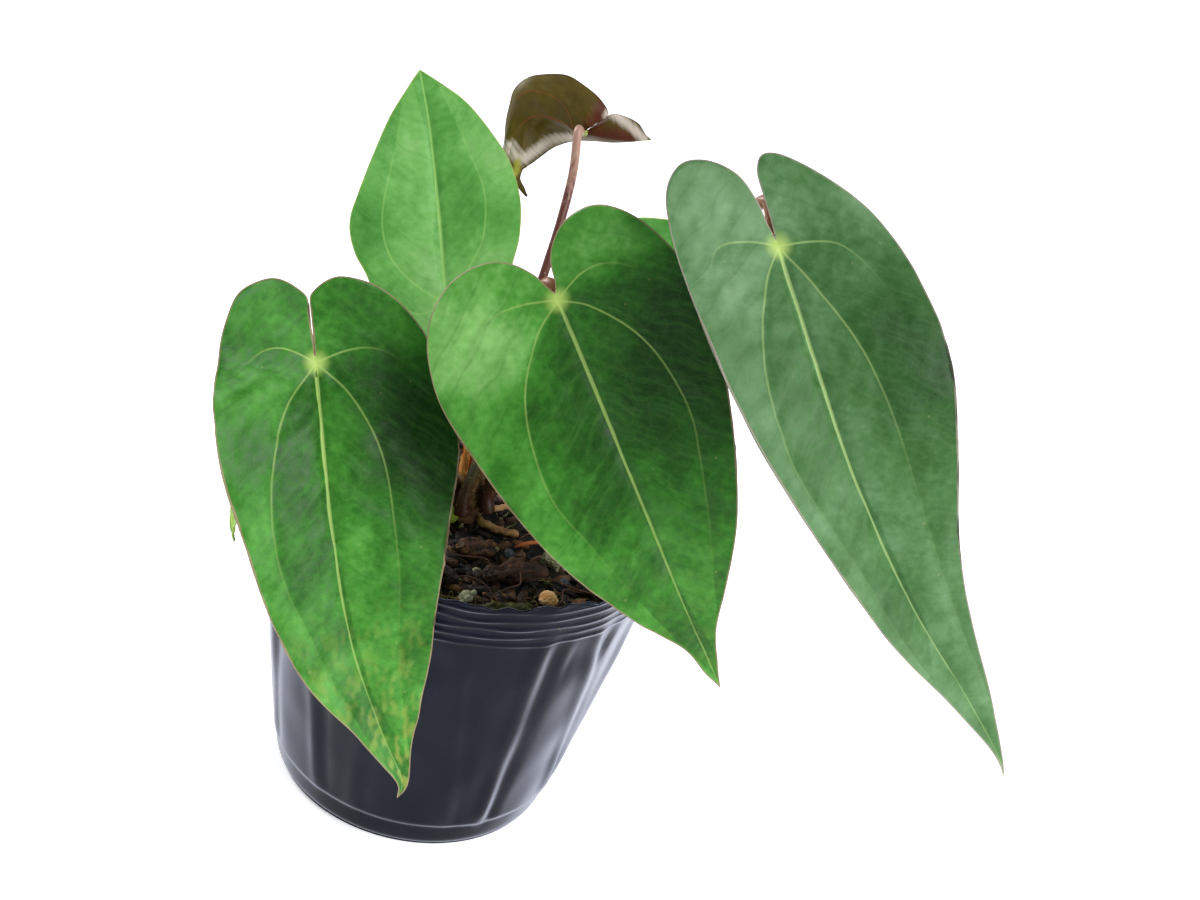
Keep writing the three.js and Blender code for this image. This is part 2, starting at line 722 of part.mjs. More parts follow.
SCALES.lengths.forEach((length, i) => {
  const turn = (SCALES.firstTurn + (360 * i) / SCALES.lengths.length) * DEG;
  const out = new THREE.Vector3(Math.cos(turn), Math.sin(turn), 0);
  const stand = (radius, z) => [CROWN.x + radius * out.x, CROWN.y + radius * out.y, z];
  const foot = CROWN_TOP + SEAT_GAP;
  const side = [
    [SCALES.halfWidth, 0.1],
    [SCALES.halfWidth, SCALES.widestUpTo * length],
    [SCALES.halfWidth / 2, SCALES.halfWideAt * length],
  ];
  const scale = {
    ...BLADE,
    spine: [0, 0.5, 1].map((t) => stand(SCALES.ring + SCALES.lean * t * length, foot + t * length)),
    startsAtBase: true,
    facing: [[-out.x, -out.y, 0]],
    fold: { left: [SCALES.fold], right: [SCALES.fold] },
    droop: 0,
    notch: 0,
    thickness: SCALES.thickness,
    left: side,
    right: side,
  };
  add("old_scale_" + (i + 1), blade(scale, SCALES.rungs, SCALES.stations).geometry, FINISHES.scale);
});

ROOTS.turns.forEach((turn, i) => {
  const z = CROWN_FOOT + ROOTS.radius + SEAT_GAP;
  const along = (t) => besideCrown(turn + ROOTS.sweep * t * t, z, t * ROOTS.reach);
  const root = tube([0, 0.5, 1].map(along), ROOTS.radius, ROOTS.sides, ROOTS.steps);
  add("root_" + (i + 1), closed(root), FINISHES.root);
});

LOOSE.forEach((piece, i) => addLoose(piece, i));

for (let i = 0; i < SIDE_CHIPS.count; i++) {
  const share = i / (SIDE_CHIPS.count - 1);
  const turn = SIDE_CHIPS.from + share * (SIDE_CHIPS.to - SIDE_CHIPS.from);
  const radius = i % 2 ? SIDE_CHIPS.outerRadius : SIDE_CHIPS.innerRadius;
  const kind = (i + 2) % SIDE_CHIPS.pumiceEvery ? "bark" : "pumice";
  const [length, width, height] = SIDE_CHIPS[kind];
  const varied = kind === "bark" ? length + SIDE_CHIPS.barkVaries * Math.sin(i) : length;
  addLoose(
    {
      name: kind + "_side_" + (i + 1),
      kind,
      at: [radius * Math.cos(turn * DEG), radius * Math.sin(turn * DEG)],
      size: [varied, width, height],
      turn: turn + 90 + SIDE_CHIPS.swing * Math.sin(2 * i),
    },
    i + LOOSE.length,
  );
}

export default plant;
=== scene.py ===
import math
from functools import partial

import bmesh
import bpy
import numpy as np
from mathutils import Matrix


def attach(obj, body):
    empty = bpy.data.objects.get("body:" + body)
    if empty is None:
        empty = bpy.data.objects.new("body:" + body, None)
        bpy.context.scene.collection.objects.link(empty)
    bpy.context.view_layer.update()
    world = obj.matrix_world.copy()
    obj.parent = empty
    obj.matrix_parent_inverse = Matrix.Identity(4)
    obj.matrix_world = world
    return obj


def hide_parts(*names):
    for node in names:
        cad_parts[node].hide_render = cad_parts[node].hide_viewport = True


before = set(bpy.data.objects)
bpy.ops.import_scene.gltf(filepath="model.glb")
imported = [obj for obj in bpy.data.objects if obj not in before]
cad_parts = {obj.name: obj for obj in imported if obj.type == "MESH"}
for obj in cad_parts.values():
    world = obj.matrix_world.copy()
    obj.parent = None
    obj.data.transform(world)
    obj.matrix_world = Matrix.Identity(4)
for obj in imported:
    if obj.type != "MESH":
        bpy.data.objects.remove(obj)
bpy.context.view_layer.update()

# The plant stands on a table in soft daylight and is seen from a little above, with the view
# rolled to one side. Lengths in this script are millimetres, z is the height above the table,
# and millimetres turn into metres as a mesh is filled.

MM = 0.001
CAMERA_PLACE = (32.7, -527.5, 440.5)
CAMERA_DIP, CAMERA_ROLL = math.radians(31.1), math.radians(14.7)
CAMERA_LENS = 66

# "back" points from the plant to the camera. The level line across the view, turned by the
# roll, is the camera's own right.
back = np.array([0, -math.cos(CAMERA_DIP), math.sin(CAMERA_DIP)])
level = np.array([1.0, 0, 0])
upright = np.cross(back, level)
right = math.cos(CAMERA_ROLL) * level + math.sin(CAMERA_ROLL) * upright
turned = Matrix(np.column_stack([right, np.cross(back, right), back]).tolist())
camera = bpy.data.objects.new("camera", bpy.data.cameras.new("camera"))
camera.data.lens = CAMERA_LENS
camera.matrix_world = Matrix.Translation([MM * c for c in CAMERA_PLACE]) @ turned.to_4x4()
bpy.context.scene.collection.objects.link(camera)
bpy.context.scene.camera = camera
bpy.context.scene.view_settings.view_transform = "Standard"

# The table is a sheet of white laminate, pressed matt and wide enough to fill the view. Light
# that comes from beyond the view makes it glow a little.

TABLE_SIZE = 6000


def linear(colour):
    """An sRGB hex colour as linear red, green, blue and alpha: a small part is divided by 12.92,
    and any other is shifted, scaled and raised to the power 2.4."""
    parts = [int(colour[i : i + 2], 16) / 255 for i in (1, 3, 5)]
    return tuple(c / 12.92 if c <= 0.04045 else ((c + 0.055) / 1.055) ** 2.4 for c in parts) + (1,)


def add_node(tree, kind, inputs=(), stops=(), take=0, **settings):
    """Adds one shader node and returns its output "take". "inputs" are values in the order of the
    node's inputs, or values by input: an output of another node is linked, and a plain value is
    set. "stops" are the places and colours of a ramp."""
    made = tree.nodes.new("ShaderNode" + kind)
    for name, value in settings.items():
        setattr(made, name, value)
    for name, value in inputs.items() if isinstance(inputs, dict) else enumerate(inputs):
        if isinstance(value, bpy.types.NodeSocket):
            tree.links.new(value, made.inputs[name])
        else:
            made.inputs[name].default_value = value
    if stops:
        ramp = made.color_ramp.elements
        while len(ramp) < len(stops):
            ramp.new(0.5)
        for element, (place, colour) in zip(ramp, stops):
            element.position = place
            element.color = linear(colour)
    return made.outputs[take]


def new_finish(name, **values):
    """A material with plain values set on its shader. Returns it, its tree and its shader."""
    material = bpy.data.materials.new(name)
    material.use_nodes = True
    shader = material.node_tree.nodes["Principled BSDF"]
    for socket, value in values.items():
        shader.inputs[socket.replace("_", " ")].default_value = value
    return material, material.node_tree, shader


# White laminate, matt, clouded so faintly that it reads as even
laminate, tree, shader = new_finish(
    "white_laminate", Roughness=0.75, Emission_Color=linear("#ffffff"), Emission_Strength=0.3
)
cloud = add_node(tree, "TexNoise", {"Scale": 3.0})
tint = add_node(tree, "ValToRGB", [cloud], [(0.3, "#f4f4f6"), (0.7, "#f7f7f8")])
tree.links.new(tint, shader.inputs["Base Color"])
half = MM * TABLE_SIZE / 2
corners = [(-half, -half, 0), (half, -half, 0), (half, half, 0), (-half, half, 0)]
table_top = bpy.data.meshes.new("table")
table_top.from_pydata(corners, [], [(0, 1, 2, 3)])
table_top.materials.append(laminate)
table = bpy.data.objects.new("table", table_top)
bpy.context.scene.collection.objects.link(table)

# Daylight is a pale even sky, a wide soft sun from the upper right, and two bright panels that
# show as soft bands on the pot. Each light has its kind, place, strength and width, and faces
# the middle of the plant. The sun's width is in degrees, and a panel's is in millimetres.

SKY_COLOUR, SKY_STRENGTH = "#eef2fb", 0.55
PLANT_MIDDLE = (20, -30, 120)
LIGHTS = {
    "window_sun": ("SUN", (640, -380, 860), 2.7, 34),
    "left_panel": ("AREA", (-520, 300, 420), 4.6, 300),
    "right_panel": ("AREA", (560, -330, 120), 1.5, 240),
}

sky = bpy.data.worlds.new("pale_sky")
sky.use_nodes = True
sky.node_tree.nodes["Background"].inputs["Color"].default_value = linear(SKY_COLOUR)
sky.node_tree.nodes["Background"].inputs["Strength"].default_value = SKY_STRENGTH
bpy.context.scene.world = sky
for name, (kind, place, strength, width) in LIGHTS.items():
    lamp = bpy.data.lights.new(name, kind)
    lamp.energy = strength
    if kind == "SUN":
        lamp.angle = math.radians(width)
    else:
        lamp.size = MM * width
    light = bpy.data.objects.new(name, lamp)
    away = np.array(place, float) - PLANT_MIDDLE
    away /= np.linalg.norm(away)
    across = np.cross((0, 0, 1), away)
    across /= np.linalg.norm(across)
    facing = Matrix(np.column_stack([across, np.cross(away, across), away]).tolist())
    light.matrix_world = Matrix.Translation([MM * c for c in place]) @ facing.to_4x4()
    bpy.context.scene.collection.objects.link(light)

# The pot is a nursery pot of black polyethylene film, blown and moulded in one piece: ribs under
# the rim stiffen it, soft creases run down its wall, a small step runs round its foot, and
# eight holes in its floor let water out.

RIM_RADIUS, BASE_RADIUS, POT_HEIGHT = 60, 42, 102
FILM = 0.4
FOOT_HEIGHT, FOOT_STEP = 9, 0.6
FOOT_ROUNDING = 1.5
RIB_COUNT, RIB_SPACING, RIB_HEIGHT, RIB_WIDTH = 5, 3.2, 0.42, 0.6
TOP_RIB_BELOW_RIM = 1.8
# Where each crease is at the top of the wall, how many degrees it leans on its way down, and
# its height
CREASES = [
    (-172, 3, 0.7), (-148, -4, 0.9), (-126, 5, 0.6), (-100, -3, 0.5), (-79, 10, 0.7), (-55, 2, 1.35),
    (-36, 14, 1.3), (-14, 3, 1.0), (12, -6, 0.8), (40, 4, 1.1), (71, 8, 0.8), (98, -5, 1.2),
    (129, 6, 0.7), (157, -3, 1.0),
]
CREASE_WIDTH = 3.0
DRAIN_COUNT, DRAIN_RADIUS, DRAIN_CIRCLE = 8, 3.5, 31


def weld(points, faces):
    """Makes points that are closer than a micrometre one, and renumbers the faces."""
    keys = np.round(points * 1000).astype(np.int64)
    first, same = np.unique(keys, axis=0, return_index=True, return_inverse=True)[1:]
    return first, same.reshape(-1)[faces]


def grid_faces(rows, columns, round_about=False):
    """Four-cornered faces between the points of a grid, numbered row by row."""
    row, column = np.meshgrid(
        np.arange(rows - 1), np.arange(columns - (0 if round_about else 1)), indexing="ij"
    )
    beside = (column + 1) % columns
    corners = [(row, column), (row, beside), (row + 1, beside), (row + 1, column)]
    return np.stack([r * columns + c for r, c in corners], -1).reshape(-1, 4)


def thicken(points, faces, up, down, **values):
    """Turns an open sheet into a closed one: each point moves along its own normal by "up" for
    the upper skin and by "down" for the lower one, and a wall joins them round every edge. The
    value "skin" is 1 on the upper skin and 0 on the lower."""
    up, down = (np.ravel(np.broadcast_to(side, len(points))) for side in (up, down))
    first, faces = weld(points, faces)
    points = points[first]
    corner = points[faces]
    face_normal = np.cross(corner[:, 2] - corner[:, 0], corner[:, 3] - corner[:, 1])
    normal = np.zeros_like(points)
    for i in range(4):
        np.add.at(normal, faces[:, i], face_normal)
    normal /= np.maximum(np.linalg.norm(normal, axis=1), 1e-12)[:, None]
    start, end = faces.ravel(), np.roll(faces, -1, axis=1).ravel()
    start, end = start[start != end], end[start != end]
    count = len(points)
    edge = ~np.isin(start * count + end, end * count + start)
    start, end = start[edge], end[edge]
    walls = np.stack([end, start, start + count, end + count], 1)
    points = np.vstack([points + normal * up[first, None], points + normal * down[first, None]])
    values = {name: np.tile(value[first], 2) for name, value in values.items()}
    values["skin"] = np.repeat([1.0, 0.0], count)
    return points, np.vstack([faces, faces[:, ::-1] + count, walls]), values


def add_piece(name, points, faces, finish, slot, nodes=(), **values):
    """Fills a mesh from whole arrays: points in millimetres, faces of four corners, in which
    corners that fall together count once, and one number a point for each named value. The
    faces are turned round if they would point inwards, where the volume comes out negative."""
    first, faces = weld(points, faces)
    points = points[first]
    corner = points[faces]
    volume = np.einsum("ij,ij->", corner[:, 0], np.cross(corner[:, 1], corner[:, 2]))
    volume += np.einsum("ij,ij->", corner[:, 0], np.cross(corner[:, 2], corner[:, 3]))
    if volume < 0:
        faces = faces[:, ::-1]
    own = faces != np.roll(faces, -1, axis=1)
    whole = own.sum(1) > 2
    faces, own = faces[whole], own[whole]
    size = own.sum(1)
    mesh = bpy.data.meshes.new(name)
    mesh.vertices.add(len(points))
    mesh.vertices.foreach_set("co", (points * MM).astype(np.float32).ravel())
    mesh.loops.add(int(size.sum()))
    mesh.loops.foreach_set("vertex_index", faces[own].astype(np.int32))
    mesh.polygons.add(len(faces))
    mesh.polygons.foreach_set("loop_start", (np.cumsum(size) - size).astype(np.int32))
    mesh.polygons.foreach_set("loop_total", size.astype(np.int32))
    mesh.polygons.foreach_set("use_smooth", np.full(len(faces), True))
    mesh.update(calc_edges=True)
    for value_name, value in values.items():
        attribute = mesh.attributes.new(value_name, "FLOAT", "POINT")
        attribute.data.foreach_set("value", value[first].astype(np.float32))
    mesh.materials.append(finish)
    piece = bpy.data.objects.new(name, mesh)
    bpy.context.scene.collection.objects.link(piece)
    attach(piece, "root")
    if nodes:
        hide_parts(*nodes)


def waves(seed, wavelength, *axes):
    """Smooth unevenness between about -1 and 1: a fifth of the sum of twelve plane waves that
    run in random directions, with wavelengths from 0.7 to 1.4 times the one given."""
    draw = np.random.default_rng(seed)
    total = 0
    for _ in range(12):
        way = draw.normal(size=len(axes))
        way *= 2 * math.pi / (np.linalg.norm(way) * wavelength * draw.uniform(0.7, 1.4))
        total = total + np.sin(sum(w * a for w, a in zip(way, axes)) + draw.uniform(0, 6.3))
    return total / 5


def bell(distance, width):
    """A smooth hump: e to the minus square of the distance over the width, so 1 in its middle
    and about a third at its width."""
    return np.exp(-((distance / width) ** 2))


# The profile runs from the middle of the floor out and up the wall, with its points closest at
# the drain holes, the foot and the ribs. The wall leans out evenly, steps in at the foot and
# rounds off into the floor.
floor_radii = np.r_[np.linspace(0, 27, 8), np.linspace(27.5, 34.5, 15), np.linspace(36, 40.6, 4)]
wall_rise = np.r_[np.linspace(0, 12, 20), np.linspace(12.8, 84, 60), np.linspace(84.5, POT_HEIGHT, 62)]
wall_radii = BASE_RADIUS + (RIM_RADIUS - BASE_RADIUS) * wall_rise / POT_HEIGHT
wall_radii -= FOOT_STEP / (1 + np.exp((wall_rise - FOOT_HEIGHT) / 0.25))
wall_radii -= FOOT_ROUNDING * np.exp(-wall_rise / 0.8)
profile_radius = np.r_[floor_radii, wall_radii][:, None]
profile_rise = np.r_[0 * floor_radii, wall_rise][:, None]
turn = np.radians(np.arange(0, 360, 1.5))[None, :]
round_x, round_y = 50 * np.cos(turn), 50 * np.sin(turn)

# Each rib is a bell round the wall whose height above the table and strength wander a little
rib_zone = POT_HEIGHT - RIB_COUNT * RIB_SPACING
ribs = 0
for i in range(RIB_COUNT):
    rib_rise = POT_HEIGHT - TOP_RIB_BELOW_RIM - i * RIB_SPACING
    from_rib = profile_rise - rib_rise - 0.45 * waves(30 + i, 20, round_x, round_y)
    ribs = ribs + bell(from_rib, RIB_WIDTH) * (1 + 0.6 * waves(40 + i, 14, round_x, round_y))

# A crease is a ridge with a shallower valley beside it, on the free wall between foot and ribs
free_wall = 1 / (1 + np.exp((profile_rise - rib_zone) / 2)) / (1 + np.exp((11 - profile_rise) / 1.5))
out = np.zeros(np.broadcast_shapes(turn.shape, profile_rise.shape))
for place, lean, height in CREASES:
    apart = np.degrees(turn) - place - lean * (86 - profile_rise) / 60
    apart = (apart + 180) % 360 - 180
    ridge = bell(apart + 1.5, CREASE_WIDTH) - 0.8 * bell(apart - 3.0, 0.9 * CREASE_WIDTH)
    out += height * ridge * free_wall * (0.75 + 0.25 * np.sin(profile_rise / 17 + place))
out += RIB_HEIGHT * (ribs - 0.5) * (0.8 + 0.3 * np.sin(3 * turn + 1))

# Soft film is never quite round: it waves by a quarter of a millimetre, is pressed in here and
# there below the ribs, and its cut rim is ragged
soft = np.clip(profile_rise / 30, 0, 1)
out += 0.28 * soft * waves(3, 16, round_x, round_y, profile_rise * 0.6)
out -= 0.5 * soft * bell(profile_rise - 78, 8) * (waves(4, 30, round_x, round_y) > 0.3)
out *= profile_rise > 0
edge_wave = 0.7 * waves(5, 6, round_x, round_y) + 0.4 * waves(6, 22, round_x, round_y)
near_rim = np.clip((profile_rise - POT_HEIGHT + 3) / 3, 0, 1) ** 2
radius = profile_radius + out + 0.6 * near_rim * waves(7, 7, round_x, round_y)
pot_x, pot_y = radius * np.cos(turn), radius * np.sin(turn)
pot_z = profile_rise + near_rim * edge_wave + FILM / 2

# Floor points beside a drain hole are pulled onto its circle, and the faces inside it go
for i in range(DRAIN_COUNT):
    way = 2 * math.pi * (i + 0.5) / DRAIN_COUNT
    hole_x, hole_y = DRAIN_CIRCLE * math.cos(way), DRAIN_CIRCLE * math.sin(way)
    gap = np.hypot(pot_x - hole_x, pot_y - hole_y)
    snap = (np.abs(gap - DRAIN_RADIUS) < 0.4) & (profile_rise < 0.01)
    pull = np.where(snap, DRAIN_RADIUS / np.maximum(gap, 0.1), 1)
    pot_x, pot_y = hole_x + (pot_x - hole_x) * pull, hole_y + (pot_y - hole_y) * pull
pot_points = np.stack([pot_x, pot_y, pot_z], -1).reshape(-1, 3)
pot_faces = grid_faces(len(profile_rise), turn.size, True)
middle = pot_points[pot_faces].mean(1)
way = (np.arange(DRAIN_COUNT) + 0.5) * 2 * math.pi / DRAIN_COUNT
hole_x, hole_y = DRAIN_CIRCLE * np.cos(way), DRAIN_CIRCLE * np.sin(way)
hole = np.hypot(middle[:, :1] - hole_x, middle[:, 1:2] - hole_y)
pot_faces = pot_faces[(hole.min(1) > DRAIN_RADIUS - 0.1) | (middle[:, 2] > 1)]

# Black low-density polyethylene film: a wet-looking, bluish black with a soft gloss, a painted
# sheen that pales the colour to grey where the film turns away from the view, upright wrinkles
# about 2.4 mm apart and patches of dust
DUST, WRINKLE = 22.2, 2.38
film, tree, shader = new_finish(
    "black_film", IOR=1.4, Specular_Tint=linear("#c3cdf6"), Specular_IOR_Level=0.22
)
add = partial(add_node, tree)
where = add("TexCoord", take="Object")
dust = add("TexNoise", {"Vector": where, "Scale": 1 / (DUST * MM), "Detail": 6.0})
stretched = add("Mapping", {"Vector": where, "Scale": (1, 1, 0.25)})
wrinkle = add("TexNoise", {"Vector": stretched, "Scale": 1 / (WRINKLE * MM), "Detail": 4.0})
black = add("ValToRGB", [dust], [(0.35, "#04060b"), (0.62, "#080b14"), (0.8, "#131825")])
# Painted sheen: the colour pales towards grey where the film turns away from the view
turned_away = add("LayerWeight", {"Blend": 0.5}, take="Facing")
painted_edge_sheen = add("MapRange", [turned_away, 0.5, 0.92, 0.0, 0.75], interpolation_type="SMOOTHSTEP")
shade = add("Mix", {0: painted_edge_sheen, 6: black, 7: linear("#8d92a4")}, take=2, data_type="RGBA")
gloss = add("MapRange", {"Value": dust, "To Min": 0.16, "To Max": 0.3})
bump = add("Bump", {"Height": wrinkle, "Strength": 0.18, "Distance": 0.4 * MM})
tree.links.new(shade, shader.inputs["Base Color"])
tree.links.new(gloss, shader.inputs["Roughness"])
tree.links.new(bump, shader.inputs["Normal"])

points, faces, values = thicken(pot_points, pot_faces, FILM / 2, -FILM / 2)
add_piece("film_pot", points, faces, film, "pot_film", ["nursery_pot"])

# The potting mix is bark, pumice, moss and slow feed, poured in and settled into a low mound.
# Its body is one uneven lump that fills the pot, and hundreds of small chips, grains and fibres
# lie on top.

MIX_FLOOR, MIX_EDGE, MIX_RISE = 1.5, 94, 2
MIX_FOOT_RADIUS, MIX_SHOULDER_RADIUS, MIX_RADIUS = 40.3, 56.4, 57.2


def mound(x, y):
    """Height of the mix's top: a dome that falls with the square of the distance from the
    middle, plus clods about 9 mm and crumbs about 3 mm across that flatten towards the pot."""
    away = np.minimum(np.hypot(x, y) / MIX_RADIUS, 1)
    clods = 0.55 * waves(11, 9, x, y) + 0.35 * waves(12, 3.2, x, y)
    return MIX_EDGE + MIX_RISE * (1 - away**2) + clods * (1 - 0.6 * away**4)


rings = np.linspace(0, 1, 70)[:, None]
turn = np.radians(np.arange(0, 360, 1.8))[None, :]
top_x, top_y = MIX_RADIUS * (1 - rings) * np.cos(turn), MIX_RADIUS * (1 - rings) * np.sin(turn)
top = np.stack([top_x, top_y, mound(top_x, top_y)], -1)
side_rise = np.r_[MIX_FLOOR, np.linspace(MIX_FLOOR, MIX_EDGE - MIX_FLOOR, 10)][:, None]
widening = (MIX_SHOULDER_RADIUS - MIX_FOOT_RADIUS) * (side_rise[1:, 0] - MIX_FLOOR)
side_radius = np.r_[0, MIX_FOOT_RADIUS + widening / (MIX_EDGE - 2 * MIX_FLOOR)][:, None]
side = np.stack([side_radius * np.cos(turn), side_radius * np.sin(turn), side_rise + 0 * turn], -1)
mix_points = np.vstack([side.reshape(-1, 3), top.reshape(-1, 3)])
mix_faces = grid_faces(len(side_rise) + len(rings), turn.size, True)

# Damp composted bark fines: almost black, in crumbs about 2.6 mm across, with patches about
# 8 mm across that are brown where they catch the light
CRUMB, DAMP_PATCH = 2.63, 7.69
humus, tree, shader = new_finish("damp_bark_fines", Roughness=0.85, Specular_IOR_Level=0.3)
add = partial(add_node, tree)
where = add("TexCoord", take="Object")
crumbs = add("TexVoronoi", {"Vector": where, "Scale": 1 / (CRUMB * MM)})
patches = add("TexNoise", {"Vector": where, "Scale": 1 / (DAMP_PATCH * MM), "Detail": 8.0})
shade = add("ValToRGB", [patches], [(0.35, "#030201"), (0.55, "#090504"), (0.72, "#1c1009")])
bump = add("Bump", {"Height": crumbs, "Strength": 0.8, "Distance": 1.2 * MM})
tree.links.new(shade, shader.inputs["Base Color"])
tree.links.new(bump, shader.inputs["Normal"])
add_piece("mix_body", mix_points, mix_faces, humus, "potting_mix", ["potting_mix"])


def scatter(seed, count, rim_only=False):
    """Random places on the mound, as dense in the middle as at the rim, because the distance
    from the middle is the square root of an even draw."""
    draw = np.random.default_rng(seed)
    reach = MIX_RADIUS * (np.sqrt(draw.uniform(0.72 if rim_only else 0, 0.95, count)))
    way = draw.uniform(0, 2 * math.pi, count)
    return draw, reach * np.cos(way), reach * np.sin(way)


def turns(draw, count, tilt):
    """One random turn for each bit: any heading, and a pitch and a bank up to the tilt given."""
    heading, lift, roll = (draw.uniform(-a, a, count) for a in (math.pi, tilt, tilt))
    ca, sa, cb, sb, cc, sc = (f(a) for a in (heading, lift, roll) for f in (np.cos, np.sin))
    zero, one = np.zeros(count), np.ones(count)
    flat = np.array([[ca, -sa, zero], [sa, ca, zero], [zero, zero, one]])
    pitch = np.array([[cb, zero, -sb], [zero, one, zero], [sb, zero, cb]])
    bank = np.array([[one, zero, zero], [zero, cc, -sc], [zero, sc, cc]])
    return np.einsum("ijn,jkn,kln->nil", flat, pitch, bank)


def bits(seed, count, lengths, shares, tilt):
    """Splinters of bark or grains: a six-sided barrel of five rings, each with its own ragged
    radius, stretched to its size, turned, and sunk a third into the mound. "shares" are the
    width and height as shares of the length."""
    draw, x, y = scatter(seed, count)
    along = np.array([-0.5, -0.42, 0, 0.42, 0.5])
    girth = np.array([0, 0.75, 1, 0.8, 0])
    side = np.arange(6) * math.pi / 3
    ragged = girth[None, :, None] * draw.uniform(0.7, 1.25, (count, 5, 6))
    length = draw.uniform(*lengths, count)[:, None, None]
    skewed = along[None, :, None] + 0.04 * draw.normal(size=(count, 5, 1))
    wide, high = (length * share / 2 * ragged for share in shares)
    shape = np.stack([length * skewed + 0 * ragged, wide * np.cos(side), high * np.sin(side)], -1)
    shape = np.einsum("nij,nrsj->nrsi", turns(draw, count, tilt), shape)
    height = mound(x, y) + length[:, 0, 0] * shares[1] * 0.15
    shape += np.stack([x, y, height], -1)[:, None, None, :]
    one = grid_faces(5, 6, True)
    faces = (one[None] + 30 * np.arange(count)[:, None, None]).reshape(-1, 4)
    return shape.reshape(-1, 3), faces, np.repeat(draw.uniform(0, 1, count), 30)


def strands(seed, count, lengths, thickness, arch, rim_only=False):
    """Fibres: a three-sided thread of nine rings along a random bow, a parabola to one side and
    another upwards, that tapers to both ends."""
    draw, x, y = scatter(seed, count, rim_only)
    t = np.linspace(-0.5, 0.5, 9)
    length = draw.uniform(*lengths, count)[:, None]
    bow = draw.uniform(-0.5, 0.5, count)[:, None]
    rise = draw.uniform(0, arch, count)[:, None]
    ripple = 0.4 * np.sin(9 * t + bow * 9)
    line = [length * t, length * bow * (0.25 - t**2) * 2, rise * (1 - 4 * t**2) + 0.3 + ripple]
    line = np.einsum("nij,nrj->nri", turns(draw, count, 0.25), np.stack(line, -1))
    line += np.stack([x, y, mound(x, y)], -1)[:, None, :]
    side = np.arange(3) * 2 * math.pi / 3
    taper = thickness / 2 * np.sqrt(1.02 - 4 * t**2)[None, :, None]
    ring = np.stack([0 * side, np.cos(side), np.sin(side)], -1)
    shape = line[:, :, None, :] + taper[..., None] * ring[None, None]
    first, last = (line[:, i : i + 1, None, :] + 0 * ring for i in (0, 8))
    one = grid_faces(11, 3, True)
    faces = (one[None] + 33 * np.arange(count)[:, None, None]).reshape(-1, 4)
    tone = np.repeat(draw.uniform(0, 1, count), 33)
    return np.concatenate([first, shape, last], 1).reshape(-1, 3), faces, tone


def bit_finish(name, stops, grain, roughness, dent):
    """A rough natural finish: each bit's own tone and a noise of the grain given, in millimetres,
    are averaged and pick the colour from the stops. The same noise dents the surface."""
    finish, tree, shader = new_finish(name, Roughness=roughness, Specular_IOR_Level=0.35)
    add = partial(add_node, tree)
    where = add("TexCoord", take="Object")
    tone = add("Attribute", take="Fac", attribute_name="tone")
    noise = add("TexNoise", {"Vector": where, "Scale": 1 / (grain * MM), "Detail": 6.0})
    total = add("Math", [tone, noise], operation="ADD")
    mean = add("Math", [total, 0.5], operation="MULTIPLY")
    shade = add("ValToRGB", [mean], stops)
    bump = add("Bump", {"Height": noise, "Strength": dent, "Distance": 0.6 * MM})
    tree.links.new(shade, shader.inputs["Base Color"])
    tree.links.new(bump, shader.inputs["Normal"])
    return finish


# Pine bark: fibrous, reddish to blackish brown, with paler broken faces
bark_finish = bit_finish(
    "pine_bark", [(0.22, "#080402"), (0.45, "#1c0f08"), (0.62, "#3f2414"), (0.8, "#7d5532")], 1.92, 0.75, 0.9
)
# Pumice and grit: dull buff to grey, full of pores about 1 mm wide
pumice_finish = bit_finish(
    "pumice", [(0.25, "#2c2b1d"), (0.5, "#5f5d3c"), (0.75, "#a7a488")], 1.11, 0.9, 0.9
)
# Sphagnum moss: dried straw yellow, green where it is alive
moss_finish = bit_finish(
    "sphagnum_moss", [(0.25, "#16180a"), (0.5, "#4a4a1c"), (0.75, "#9a9150")], 3.33, 0.8, 0.4
)
# Bark fibre: thin reddish brown threads, tan where they have dried
fibre_finish = bit_finish(
    "bark_fibre", [(0.25, "#241007"), (0.5, "#562c15"), (0.75, "#a0683a")], 3.33, 0.75, 0.4
)
for name, (points, faces, tone), finish, slot in (
    ("bark_chips", bits(21, 900, (2, 8), (0.45, 0.3), 0.5), bark_finish, "bark"),
    ("grit_grains", bits(22, 240, (1, 2.6), (0.9, 0.8), 0.9), pumice_finish, "pumice"),
    ("bark_fibres", strands(23, 170, (5, 16), 0.45, 1.6), fibre_finish, "bark"),
    ("moss_threads", strands(24, 300, (3, 11), 0.4, 1.8), moss_finish, "moss"),
    ("rim_moss", strands(25, 420, (3, 10), 0.4, 2.2, True), moss_finish, "moss"),
):
    add_piece(name, points, faces, finish, slot, tone=tone)

# Larger loose pieces lie on the mix: slabs of bark split along their grain, lumps of pumice,
# rounded stones, feed prills coated in resin, and tufts of moss. Each is about as big as a
# fingernail or smaller, and nothing holds it but its weight.


